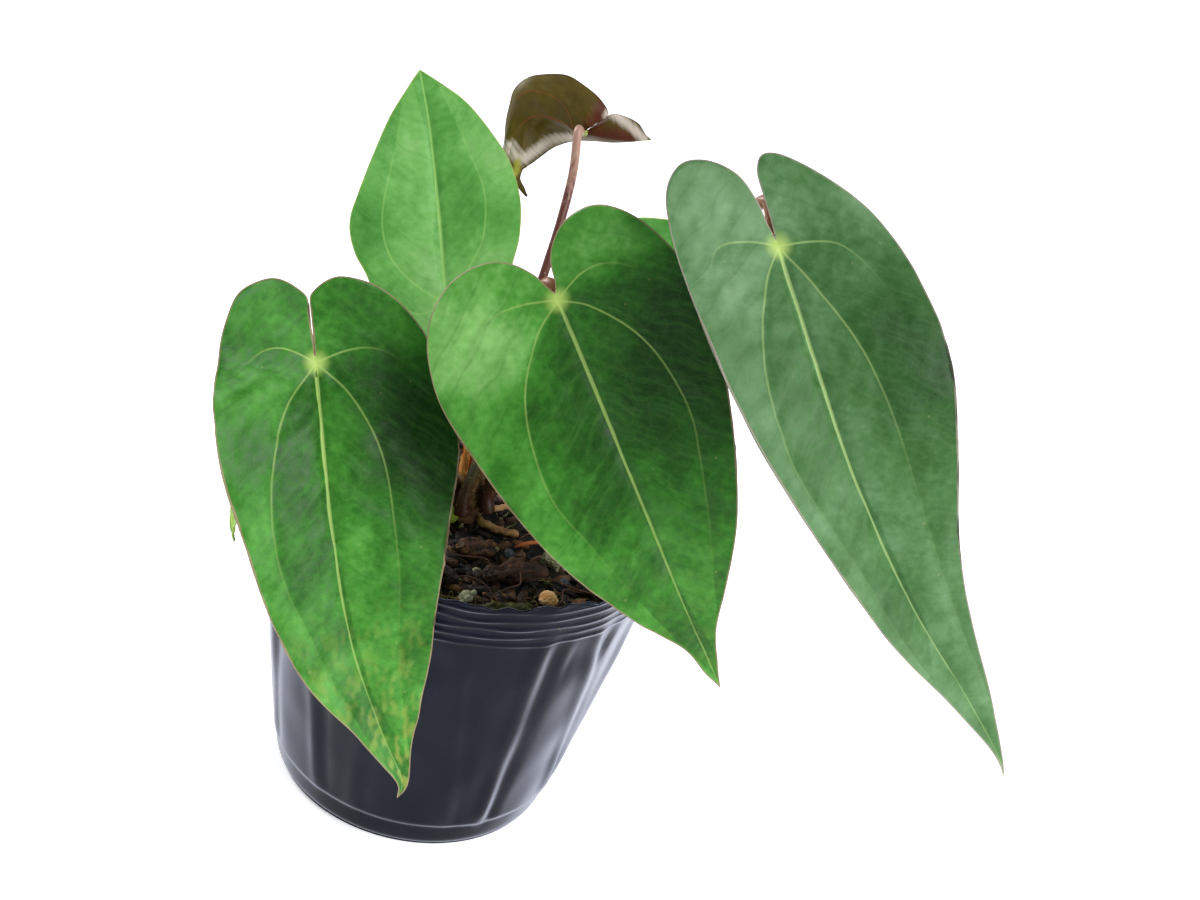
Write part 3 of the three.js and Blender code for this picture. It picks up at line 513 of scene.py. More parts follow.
def refined(node, name, finish, slot, cuts, dent, grain, seed, tone, fibre=1.0):
    """A finer copy of a CAD piece: its faces are split and rounded, and each point moves along
    its normal by waves of the grain given, of a third of it and of a seventh. "dent" is how far,
    in millimetres, and a "fibre" below one draws the waves out along the piece's length, as in
    split bark."""
    work = bmesh.new()
    work.from_mesh(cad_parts[node].data)
    bmesh.ops.remove_doubles(work, verts=work.verts, dist=1e-6)
    bmesh.ops.subdivide_edges(work, edges=work.edges, cuts=cuts, smooth=0.6, use_grid_fill=True)
    bmesh.ops.triangulate(work, faces=work.faces)
    bmesh.ops.recalc_face_normals(work, faces=work.faces)
    work.verts.ensure_lookup_table()
    place = np.array([v.co for v in work.verts]) / MM
    normal = np.array([v.normal for v in work.verts])
    corners = np.array([[v.index for v in f.verts] for f in work.faces])
    work.free()
    longest_first = np.linalg.svd(place - place.mean(0), full_matrices=False)[2]
    x, y, z = longest_first @ (place - place.mean(0)).T
    x = x * fibre
    rough = 0.6 * waves(seed, grain, x, y, z) + 0.5 * waves(seed + 1, grain / 3, x, y, z)
    rough += 0.3 * waves(seed + 2, grain / 7, x, y, z)
    place = place + normal * (dent * rough)[:, None]
    faces = np.column_stack([corners, corners[:, 0]])
    add_piece(name, place, faces, finish, slot, [node], tone=tone + 0.25 * rough)


# Orange grit stone: warm tan, speckled and slightly rough
stone_finish = bit_finish(
    "orange_grit", [(0.3, "#7a4a22"), (0.55, "#c98d52"), (0.75, "#eac596")], 2.0, 0.7, 0.5
)
# Resin prill: a smooth slate grey bead with a dull shine
prill_finish = bit_finish(
    "resin_prill", [(0.3, "#1a1e26"), (0.55, "#3b404a"), (0.75, "#7b8290")], 5.0, 0.45, 0.25
)
# Finish, slot, depth of the dents and their grain for each kind of piece, by the first word of
# its name, and the tone of those that stand out
LOOSE_KINDS = {
    "bark": (bark_finish, "bark", 0.85, 2.6),
    "stone": (stone_finish, "stone", 0.3, 3.0),
    "pumice": (pumice_finish, "pumice", 0.45, 2.5),
    "prill": (prill_finish, "feed_prill", 0.08, 2.0),
    "moss": (moss_finish, "moss", 0.7, 2.5),
}
LOOSE_TONES = {"bark_front_long": 0.62, "bark_front_red": 0.7, "bark_front_left": 0.35, "moss_rim": 0.3}
for number, name in enumerate(sorted(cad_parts)):
    kind = name.split("_")[0]
    if kind in LOOSE_KINDS:
        finish, slot, dent, grain = LOOSE_KINDS[kind]
        if name == "stone_pale":
            finish, slot = pumice_finish, "pumice"
        tone = LOOSE_TONES.get(name, 0.35 + 0.5 * math.sin(number * 2.4) ** 2)
        fibre = 0.2 if kind == "bark" else 1.0
        refined(name, "loose_" + name, finish, slot, 6, dent, grain, 40 + number, tone, fibre)

# The crown is the plant's short stem, with thick roots over the surface and the papery scales
# that old leaves leave behind. It grew as one with its roots and is held by them in the mix.

# Corky stem: rough mid brown with cracks
crown_finish = bit_finish(
    "corky_stem", [(0.3, "#2c1b0e"), (0.5, "#5a3d22"), (0.75, "#86673c")], 3.85, 0.8, 0.6
)
# Papery scale: a dry orange-brown sheath, paler where it is thin
scale_finish = bit_finish(
    "papery_scale", [(0.3, "#6b3412"), (0.5, "#b5641f"), (0.75, "#dd9a52")], 4.55, 0.6, 0.4
)
# Aerial root: a tan, felted skin with darker bruises
root_finish = bit_finish(
    "aerial_root", [(0.3, "#6d4a2c"), (0.5, "#a57a4c"), (0.75, "#cfae82")], 3.85, 0.7, 0.4
)
refined("crown_stem", "crown", crown_finish, "crown", 3, 0.35, 4.0, 81, 0.5)
for i in range(1, 5):
    tone = 0.3 + 0.15 * i
    refined(f"old_scale_{i}", f"scale_{i}", scale_finish, "old_scale", 2, 0.25, 5.0, 82 + i, tone)
for i in range(1, 7):
    tone = 0.3 + 0.1 * i
    refined(f"root_{i}", f"surface_root_{i}", root_finish, "root", 2, 0.25, 3.0, 90 + i, tone)

# A leaf is one thin blade on one stalk, and seven of them grow from the crown. The blade is a
# heart of soft green tissue under a waxy skin. Its upper side has sunken veins: a midrib, two
# long side veins and two short ones in the lobes.
#
# "spine" is the midrib in space, from a point behind the stalk's joint, through the joint, to the
# tip. The upper side faces "facing", the halves fold up by "fold" degrees, and they droop.
# "left" and "right" are the outlines of the halves in flat coordinates: across from the midrib
# and along it from the joint. Veins are in them too, and so are the tones, each given as a place,
# a size and an amount: painted light and shade, lighter on the side where light falls and darker
# away from it and where a leaf in front casts its shadow, with a few small shifts of the leaf's
# own colour. "worn" is how yellow the tip's flecks are, and "crinkle" how deep the margin waves.
# "stalk" is the way of the stalk in space, "stalk_radius" half its thickness, "turn" where round
# the crown it starts and "swell" how much thicker its joint is. The young leaf is curled, so its
# rims, bulges and colours are given in space instead, and its rows start "fan" of the way round
# the margin and crowd towards the joint by the power "crowding". Its colours are painted shade
# in dark red, painted highlights in silvery grey and a few yellow flecks.

LEAVES = {
    "front_left": {
        "spine": [(-51, -33, 169), (-44, -40, 150), (-36, -55, 136), (-28, -66, 118),
                  (-17, -75, 93), (-4, -79, 70), (4, -80, 57), (4, -80, 50)],
        "facing": (0.35, -0.82, 0.45),
        "fold": 12,
        "droop": 0.0022,
        "left": [(0.3, -7), (0.3, -13), (0.9, -18.2), (9, -23.3), (19, -20.5), (24, -12), (26.5, -1),
                 (28.6, 12), (27.8, 27), (24, 42), (20.5, 60), (14.8, 80), (7, 98), (2.8, 112)],
        "right": [(0.3, -7), (0.3, -13), (0.9, -18.2), (8, -21.8), (17.5, -18.6), (25, -11.5),
                  (31, -1), (34.8, 13), (35, 27), (30.8, 45), (26, 62), (19.5, 83), (11, 99),
                  (3.6, 112)],
        "stalk": [(-14, -14, 122), (-30, -23, 146), (-41, -32, 154)],
        "stalk_radius": 1.7,
        "turn": 190,
        "worn": 0.7,
        "painted_light_shade_and_tones": [(33, 22, 20, -0.6), (-20, 25, 24, -0.06), (12, -12, 12, -0.08), (-5, 85, 18, 0.08)],
        "side_veins": [[(0, 0), (-9, 12.5), (-14.7, 30), (-15.5, 51), (-10, 72), (-6, 92)],
                       [(0, 0), (8.3, 9.5), (15.2, 28), (15.8, 53), (13.9, 68), (9, 90)]],
        "lobe_veins": [[(0, 0), (-8, -4.6), (-14, -4.7), (-19, -1)],
                       [(0, 0), (8, -2.4), (15, -2.5), (21, 0.5), (26, 8)]],
        "skin": "leaf_green",
    },
    "centre": {
        "spine": [(0, -29, 199), (13, -39, 185), (29, -55, 170), (48, -69, 149),
                  (62, -73, 130), (73, -73, 114), (78, -72, 106)],
        "facing": (-0.1, -0.92, 0.38),
        "fold": 10,
        "droop": 0.0018,
        "left": [(1.1, -4), (3.2, -8.5), (8, -13.6), (15, -15.9), (24, -14.3), (31.5, -8.5),
                 (36.2, 0.5), (37.6, 13), (34.8, 29), (30, 48), (23, 66), (13.2, 83), (5, 95),
                 (2.2, 105)],
        "right": [(0.9, -4), (2.2, -10), (6.4, -15.6), (13.4, -18.5), (20.8, -17), (27.4, -10.5),
                  (32, -0.5), (34.5, 12), (33.6, 28), (28.6, 48), (22, 65), (13, 81), (5.5, 93),
                  (1.8, 104)],
        "stalk": [(3, -15, 130), (5, -21, 162), (8.5, -28.5, 183)],
        "stalk_radius": 1.7,
        "turn": 275,
        "painted_light_shade_and_tones": [(-24, -2, 17, 0.42), (12, 32, 23, -0.38), (31, 16, 18, -0.2), (-8, 30, 12, 0.1),
                  (15, -10, 10, 0.2)],
        "side_veins": [[(0, 0), (-9.5, 8), (-18.3, 24), (-20.4, 45), (-16, 60), (-10, 78)],
                       [(0, 0), (7.9, 6), (17, 20), (20.5, 37), (18, 52), (11, 76)]],
        "lobe_veins": [[(0, 0), (-8.3, -2.2), (-15.3, -2.5), (-22.5, -1), (-28, 5)],
                       [(0, 0), (8.8, -3.6), (16.5, -2.7), (24, 3)]],
        "skin": "leaf_green",
    },
    "long_right": {
        "spine": [(49, -28, 230), (62, -38, 214), (78, -57, 195), (94, -69, 174),
                  (116, -74, 147), (138, -73, 123), (151, -71, 107), (155, -70, 100)],
        "facing": (0.25, -0.88, 0.4),
        "fold": 12,
        "droop": 0.002,
        "left": [(0.6, -6), (1.2, -13), (3.8, -20.3), (10.8, -25.8), (18, -26), (24, -18.5),
                 (26, -4), (25.6, 14), (22.6, 36), (17, 60), (13, 81), (9.2, 104), (4.8, 126),
                 (1.2, 146)],
        "right": [(0.5, -6), (0.9, -13), (1.5, -19), (4.2, -22.5), (9.5, -20), (18, -10.5),
                  (26, 1.5), (30.8, 18), (31.6, 40), (26, 63), (17.5, 86), (11, 109), (5.5, 131),
                  (1.4, 148)],
        "stalk": [(14, -13, 122), (33, -15, 166), (50, -20, 205), (57, -27, 220)],
        "stalk_radius": 1.8,
        "turn": 335,
        "painted_light_shade_and_tones": [(-18, -8, 24, 0.2), (29, 42, 20, -0.34), (-8, 60, 20, 0.06), (0, 125, 26, -0.05)],
        "crinkle": 0.12,
        "side_veins": [[(0, 0), (-6.7, 10), (-13.2, 29), (-14.2, 50), (-9.3, 75), (-6.8, 101)],
                       [(0, 0), (5.5, 12), (11.8, 31), (13.9, 53), (11.4, 82), (8, 108)]],
        "lobe_veins": [[(0, 0), (-8.7, -3.5), (-15.4, -3.6), (-19.9, 2.6)],
                       [(0, 0), (8.9, 1.6), (15.3, 4.8), (21, 14), (24.6, 26)]],
        "skin": "leaf_blue_green",
    },
    "rear_left": {
        "spine": [(-14, 7, 138), (-19, 14, 147), (-28, 32, 164), (-37, 46, 183), (-44, 53, 197)],
        "facing": (0, -0.75, 0.66),
        "fold": 8,
        "droop": 0.002,
        "left": [(1, -4.5), (3.5, -8.8), (8.5, -10.6), (13.8, -7.5), (17, 0), (19.4, 9),
                 (22.4, 18.5), (23.5, 29), (21.6, 40), (17.1, 49), (11.5, 57.5), (5.6, 63.6)],
        "right": [(1, -4.5), (4, -8.8), (9.4, -9.8), (15, -6.3), (18.8, 1), (22, 10), (25, 18),
                  (25.4, 27), (21.4, 36.8), (16.4, 47), (10.8, 57), (4.4, 64.4)],
        "stalk": [(-8, 0, 114), (-13, 10, 131), (-17, 15.5, 141)],
        "stalk_radius": 1.4,
        "turn": 130,
        "painted_light_shade_and_tones": [(0, 4, 14, 0.3), (12, 45, 16, 0.1), (-14, 45, 14, 0.1)],
        "side_veins": [[(0, 0), (-7.7, 11), (-12.2, 20), (-13.4, 33), (-9, 48)],
                       [(0, 0), (9, 7), (15, 16), (16, 28), (11, 46)]],
        "lobe_veins": [[(0, 0), (-8, -2), (-13, 1)], [(0, 0), (8, -2), (14, 1)]],
        "skin": "leaf_young_green",
    },
    "young_bronze": {
        "spine": [(13, 49, 193), (5, 50, 192), (-2, 52, 193.3), (-9, 54, 192), (-13, 55, 187),
                  (-14.2, 54, 181), (-12.8, 52, 175), (-6, 49, 169)],
        "facing": (0.1, 0.9, -0.35),
        "rims": {
            "notch": (6, 50.5, 192.9),
            "left": [(7.4, 51.3, 193.9), (9.7, 52.8, 195.8), (11.9, 53.9, 197.9),
                     (14.9, 52.8, 199), (19.7, 51, 198.9), (22.6, 49, 197),
                     (24.4, 48.4, 195.8), (19.6, 49, 193.8), (13.2, 51, 191.2),
                     (8.2, 53.5, 188.9), (3.8, 56, 186.5), (-0.4, 58.5, 183.1),
                     (-3.1, 59.5, 180.7), (-5.4, 59, 177.8), (-7.7, 56.5, 176),
                     (-9.3, 54.5, 175.1), (-9.6, 53, 174.1), (-9, 51.5, 172.6),
                     (-7.4, 49.8, 170.9)],
            "right": [(7, 50.7, 194.1), (8.3, 51, 195.5), (9.6, 51.3, 197),
                      (10.5, 52, 198.1), (10.4, 53, 199.1), (8.7, 54.2, 200.5),
                      (6.5, 55.3, 201.8), (4, 56.3, 202.8), (1.4, 57.2, 203.5),
                      (-2.6, 58.2, 204.2), (-6.4, 58.8, 203.8), (-10.2, 58.9, 202.5),
                      (-13.9, 58.7, 200.6), (-16.4, 58, 197.2), (-17.4, 56.8, 191.8),
                      (-17.5, 55.6, 186.6), (-17.1, 54.3, 182), (-15.9, 53, 177.6),
                      (-12.4, 51.2, 172.8)],
        },
        "bulge": {"left": (0, -1, 0.4), "right": (0, -2, 1)},
        "front_veins": [[(4.5, 190), (2.5, 192.5), (0.3, 195.8), (-2.5, 198.1), (-6.4, 199),
                         (-11.2, 198.5), (-13.8, 196.9), (-15.4, 194.6)],
                        [(4.8, 190.7), (5.7, 195.4), (5.4, 198.1)]],
        "front_marks": {
            "dark": [([(7, 194), (8.4, 196.5), (8.6, 199.5)], 3.2),
                     ([(9, 193.2), (14, 194.4), (19, 194.8)], 2.4)],
            "pale": [([(-14.4, 181), (-12.4, 178.6), (-9.6, 178.2), (-6.4, 181), (-2.6, 184.4),
                       (2, 187.6)], 2.3),
                     ([(10.6, 198.6), (14.7, 198.4), (18.6, 197.4), (22.4, 195.7)], 1.4)],
            "yellow": [([(4.4, 191), (5.2, 191)], 1.0), ([(-11.6, 177), (-11, 174)], 1.1)],
        },
        "fan": 0.42,
        "crowding": 1.2,
        "stalk": [(1.5, 4, 120), (5, 27, 161), (5.6, 40, 181)],
        "stalk_radius": 1.3,
        "turn": 85,
        "swell": 0.9,
        "skin": "leaf_bronze",
    },
    "hidden_rear": {
        "spine": [(17, 20, 144), (25, 22, 149), (38, 27, 156), (50, 32, 161), (66, 36, 165.5)],
        "facing": (-0.1, -0.75, 0.65),
        "fold": 10,
        "droop": 0.002,
        "left": [(1, -3.5), (4, -7.5), (9, -9), (15, -5.5), (18.5, 2), (20, 11), (18, 21),
                 (13.5, 30), (7, 37)],
        "right": [(1, -4), (6, -9), (13, -10), (20, -4), (25, 6), (26.8, 16), (24.4, 24),
                  (19.5, 30), (13, 36)],
        "stalk": [(8, 2, 113), (17, 14, 133), (23.5, 22, 144)],
        "stalk_radius": 1.3,
        "turn": 40,
        "side_veins": [[(0, 0), (-7, 8), (-12, 18), (-9, 32)], [(0, 0), (9, 7), (15, 18), (11, 34)]],
        "lobe_veins": [[(0, 0), (-7, -2), (-12, 1)], [(0, 0), (8, -2), (14, 1)]],
        "skin": "leaf_young_green",
    },
    "small_yellow": {
        "spine": [(-48, -20, 131), (-49, -22, 127), (-54, -26, 115), (-58.4, -28.1, 99.8),
                  (-60.5, -27, 84.7), (-59.8, -25, 77.6)],
        "facing": (-0.7, -0.45, 0.5),
        "fold": 16,
        "droop": 0.004,
        "left": [(0.8, -3), (2.6, -5.5), (5.6, -6), (8.2, -3), (9.6, 3), (9.8, 11), (8.6, 20),
                 (6.4, 29), (5, 37), (3, 43.5)],
        "right": [(0.8, -3), (2.6, -5.7), (5.8, -6.2), (8.6, -3), (10.2, 3.5), (10.4, 11),
                  (9, 20), (6.6, 29), (5, 37), (3, 43.5)],
        "stalk": [(-17, -13, 107), (-33, -17, 121), (-44, -19, 127.5)],
        "stalk_radius": 1.1,
        "turn": 235,
        "side_veins": [[(0, 0), (-4, 7), (-5.5, 18), (-3, 32)], [(0, 0), (4, 7), (5.5, 18), (3, 32)]],
        "lobe_veins": [[(0, 0), (-3, -1), (-5, 1)], [(0, 0), (3, -1), (5, 1)]],
        "skin": "leaf_yellow",
    },
}


def curve(points, steps):
    """A line through all the points: between two of them it is the cubic whose slope at each
    point is half the way from the point before to the one after."""
    points = np.asarray(points, float)
    p = np.vstack([2 * points[0] - points[1], points, 2 * points[-1] - points[-2]])
    place = np.linspace(0, len(points) - 1, steps)
    part = np.minimum(place.astype(int), len(points) - 2)
    t = (place - part)[:, None]
    a, b, c, d = (p[part + i] for i in range(4))
    bends = (2 * a - 5 * b + 4 * c - d) * t**2 + (3 * b - a - 3 * c + d) * t**3
    return 0.5 * (2 * b + (c - a) * t + bends)


def unit(vectors):
    """Each vector divided by its own length."""
    return vectors / np.linalg.norm(vectors, axis=-1, keepdims=True)


def spine_of(leaf):
    """The midrib as a line in space, with its distance from the stalk's joint, and at each point
    the directions along the midrib, across the blade and out of its upper side."""
    line = curve(leaf["spine"], 24 * (len(leaf["spine"]) - 1) + 1)
    reach = np.r_[0, np.cumsum(np.linalg.norm(np.diff(line, axis=0), axis=1))]
    reach -= reach[24]
    along = unit(np.gradient(line, reach, axis=0))
    across = unit(np.cross(np.array(leaf["facing"], float), along))
    return reach, line, along, across, np.cross(along, across)


def on_spine(spine, y):
    """Place and the three directions at the distance y along the midrib."""
    return [np.stack([np.interp(y, spine[0], axis) for axis in part.T], -1) for part in spine[1:]]


def in_space(leaf, spine, x, y):
    """Turns flat leaf coordinates into space: straight on past the midrib's ends, each half
    folded up by the fold's angle and drooping with the square of the distance from the midrib."""
    place, along, across, up = on_spine(spine, y)
    past = np.minimum(y - spine[0][0], 0) + np.maximum(y - spine[0][-1], 0)
    fold = math.radians(leaf["fold"])
    aside = x * math.cos(fold)
    rise = np.abs(x) * math.sin(fold) - leaf["droop"] * x * x
    return place + along * past[..., None] + across * aside[..., None] + up * rise[..., None]


def nearest(x, y, lines, steps=40):
    """Signed distance from each flat point to the nearest of the lines given: to each straight
    piece of a line it is the distance to the point's foot on that piece, kept between its ends."""
    best = np.full(x.shape, 99.0)
    for line in lines:
        line = curve(line, steps)
        start, step = line[:-1], np.diff(line, axis=0)
        gap = np.stack([x, y], -1)[..., None, :] - start
        t = np.clip((gap * step).sum(-1) / (step**2).sum(-1), 0, 1)
        gap = gap - t[..., None] * step
        away = np.hypot(gap[..., 0], gap[..., 1])
        side = np.sign(step[:, 0] * gap[..., 1] - step[:, 1] * gap[..., 0])
        pick = away.argmin(-1)[..., None]
        away, side = (np.take_along_axis(a, pick, -1)[..., 0] for a in (away, side))
        best = np.where(away < np.abs(best), away * np.where(side == 0, 1, side), best)
    return best


STATIONS, CELLS = 200, 50


def blade_sheet(leaf, spine):
    """Two halves, each a grid: rows run from the notch round the margin to the tip, columns from
    the midrib out. A row starts at the midrib, leaves it square and bends out to the margin.
    Returns points, faces, flat coordinates and the distance from the margin."""
    length = spine[0][-1]
    v = np.linspace(0, 1, STATIONS)[:, None]
    s = (np.linspace(0, 1, CELLS) ** 1.35)[None, :]
    fan = leaf.get("fan", 0)
    start = length * np.clip((v - fan) / (1 - fan), 0, 1) ** leaf.get("crowding", 1.8)
    start[-1] = length
    halves = []
    for name, sign in (("left", -1), ("right", 1)):
        if "rims" in leaf:
            rim = [leaf["rims"]["notch"], *leaf["rims"][name], leaf["spine"][-1]]
            rim = curve(rim, STATIONS)[:, None, :]
            root = on_spine(spine, start)[0]
            hump = 4 * s * (1 - s) * np.sin(math.pi * v)
            place = root + (rim - root) * s[..., None]
            place = place + hump[..., None] * np.array(leaf["bulge"][name], float)
            width = np.linalg.norm(rim - root, axis=-1)
            x, y = sign * s * width, start + 0 * s
            rim_gap = (1 - s) * width
        else:
            outline = [(0, -2), *leaf[name], (0, length)]
            rim = curve(outline, STATIONS)
            x = sign * rim[:, :1] * (1 - (1 - s) ** 2)
            y = start + (rim[:, 1:] - start) * s
            place = in_space(leaf, spine, x, y)
            width = np.hypot(rim[:, :1], rim[:, 1:] - start)
            rim_gap = np.minimum((1 - s) * width, np.abs(nearest(np.abs(x), y, [outline], 120)))
        halves.append((place, x, y, rim_gap))
    place, x, y, rim_gap = (np.concatenate([half[i] for half in halves]) for i in range(4))
    one = grid_faces(STATIONS, CELLS)
    faces = np.vstack([one[:, ::-1], one + STATIONS * CELLS])
    points = place.reshape(-1, 3)
    corner = points[faces]
    normal = np.cross(corner[:, 2] - corner[:, 0], corner[:, 3] - corner[:, 1])
    if (normal @ spine[4].mean(0)).sum() < 0:
        faces = faces[:, ::-1]
    return points, faces, x.ravel(), y.ravel(), rim_gap.ravel()


BLADE_THICKNESS = 0.4
MIDRIB_DEPTH, SIDE_DEPTH, LOBE_DEPTH = 0.5, 0.35, 0.25
MIDRIB_WIDTH, SIDE_WIDTH, LOBE_WIDTH = 1.3, 1.5, 1.3
JOINT_REACH, JOINT_RISE = 3.5, 0.35
RUNG_SPACING, RUNG_SLOPE, QUILT_HEIGHT = 9.5, 0.8, 0.3
CRINKLE_LENGTH, CRINKLE_BAND = 8, 4


def blade(leaf, seed):
    """The whole blade. Its relief is the sum of bells that sink along the veins, of a quilt that
    swells between the fine cross veins, of waves 5 mm and 17 mm long, and of a crinkle near the
    margin. It also gives each point the distances and the tone values that its skin is coloured
    by, and these values carry painted light and shade."""
    spine = spine_of(leaf)
    length = spine[0][-1]
    points, faces, x, y, rim_gap = blade_sheet(leaf, spine)
    side_gap = nearest(x, y, leaf.get("side_veins", []))
    if "front_veins" in leaf:
        front_gap = nearest(points[:, 0], points[:, 2], leaf["front_veins"])
        side_gap = np.where(x > 0.5, front_gap, 99.0)
    lobe_gap = nearest(x, y, leaf.get("lobe_veins", []))
    rung = y - RUNG_SLOPE * np.abs(x) + 1.4 * waves(seed, 14, x, y)

    taper = np.clip(1.1 - np.clip(y, 0, None) / length, 0.2, 1)
    inner = np.clip(rim_gap / 6, 0, 1)
    away = 1 - bell(np.hypot(x, y), JOINT_REACH)
    relief = -MIDRIB_DEPTH * taper * bell(x, MIDRIB_WIDTH) * (y > -3)
    relief -= SIDE_DEPTH * taper * bell(side_gap, SIDE_WIDTH) + LOBE_DEPTH * bell(lobe_gap, LOBE_WIDTH)
    relief = relief * away + JOINT_RISE * (1 - away)
    quilt = np.abs(np.sin(math.pi * rung / RUNG_SPACING)) * np.clip(np.abs(x) / 4, 0, 1) * inner
    relief += QUILT_HEIGHT * quilt
    relief += 0.12 * waves(seed + 1, 5, x, y) * inner + 0.35 * waves(seed + 2, 17, x, y) * away
    edge = np.clip(1 - rim_gap / CRINKLE_BAND, 0, 1) ** 2
    relief += leaf.get("crinkle", 0.35) * edge * waves(seed + 3, CRINKLE_LENGTH, x, y)
    half = BLADE_THICKNESS / 2 * (0.35 + 0.65 * np.clip(rim_gap / 2, 0, 1))

    # Painted light and shade: the listed spots make the blade lighter where light falls and darker away from
    # it and where a leaf in front casts its shadow, besides a few small shifts of its own colour. The step
    # in tone across each side vein is partly the panel's own colour and partly painted sheen and shade.
    tone = 0 * x
    for a, b, size, amount in leaf.get("painted_light_shade_and_tones", []):
        tone = tone + amount * bell(np.hypot(x - a, y - b), size)
    if "side_veins" in leaf:
        tone = tone + 0.06 * np.tanh(side_gap / 0.8) * np.clip(y / 14, 0, 1)
    patchy = waves(seed + 5, 8, x, y) + 0.8 * waves(seed + 6, 2.5, x, y)
    near_tip = np.clip(y / length * 1.8 - 0.9, 0, 1)
    values = {
        "across": x, "along": y, "side_vein": side_gap, "lobe_vein": lobe_gap, "margin": rim_gap,
        "rung": rung, "tone": tone,
        "worn": leaf.get("worn", 0.1) * near_tip * np.clip(1.3 * patchy, 0, 1),
    }
    # The young leaf's marks paint shade in dark red and highlights in silvery grey, and add yellow flecks,
    # along lines seen from the front.
    for wash, lines in leaf.get("front_marks", {}).items():
        spread = [bell(nearest(points[:, 0], points[:, 2], [line]), size) for line, size in lines]
        streaky = 0.25 * waves(seed + 7, 1.6, points[:, 0] + points[:, 2], 0.2 * points[:, 0])
        values[wash] = np.clip(1.5 * np.max(spread, axis=0) - 0.45 + streaky, 0, 1)
    return thicken(points, faces, relief + half, relief - half, **values)


# Sizes of the skin's patterns, in millimetres
PATCH, MOTTLE, STREAK, GRAIN = 16.7, 2.0, 2.0, 0.455
NET_MESH, FINE_MESH, NET_WANDER = 4.76, 1.613, 2.86
SCAR_SPACING = 8.33
NET_STRENGTH = 0.03


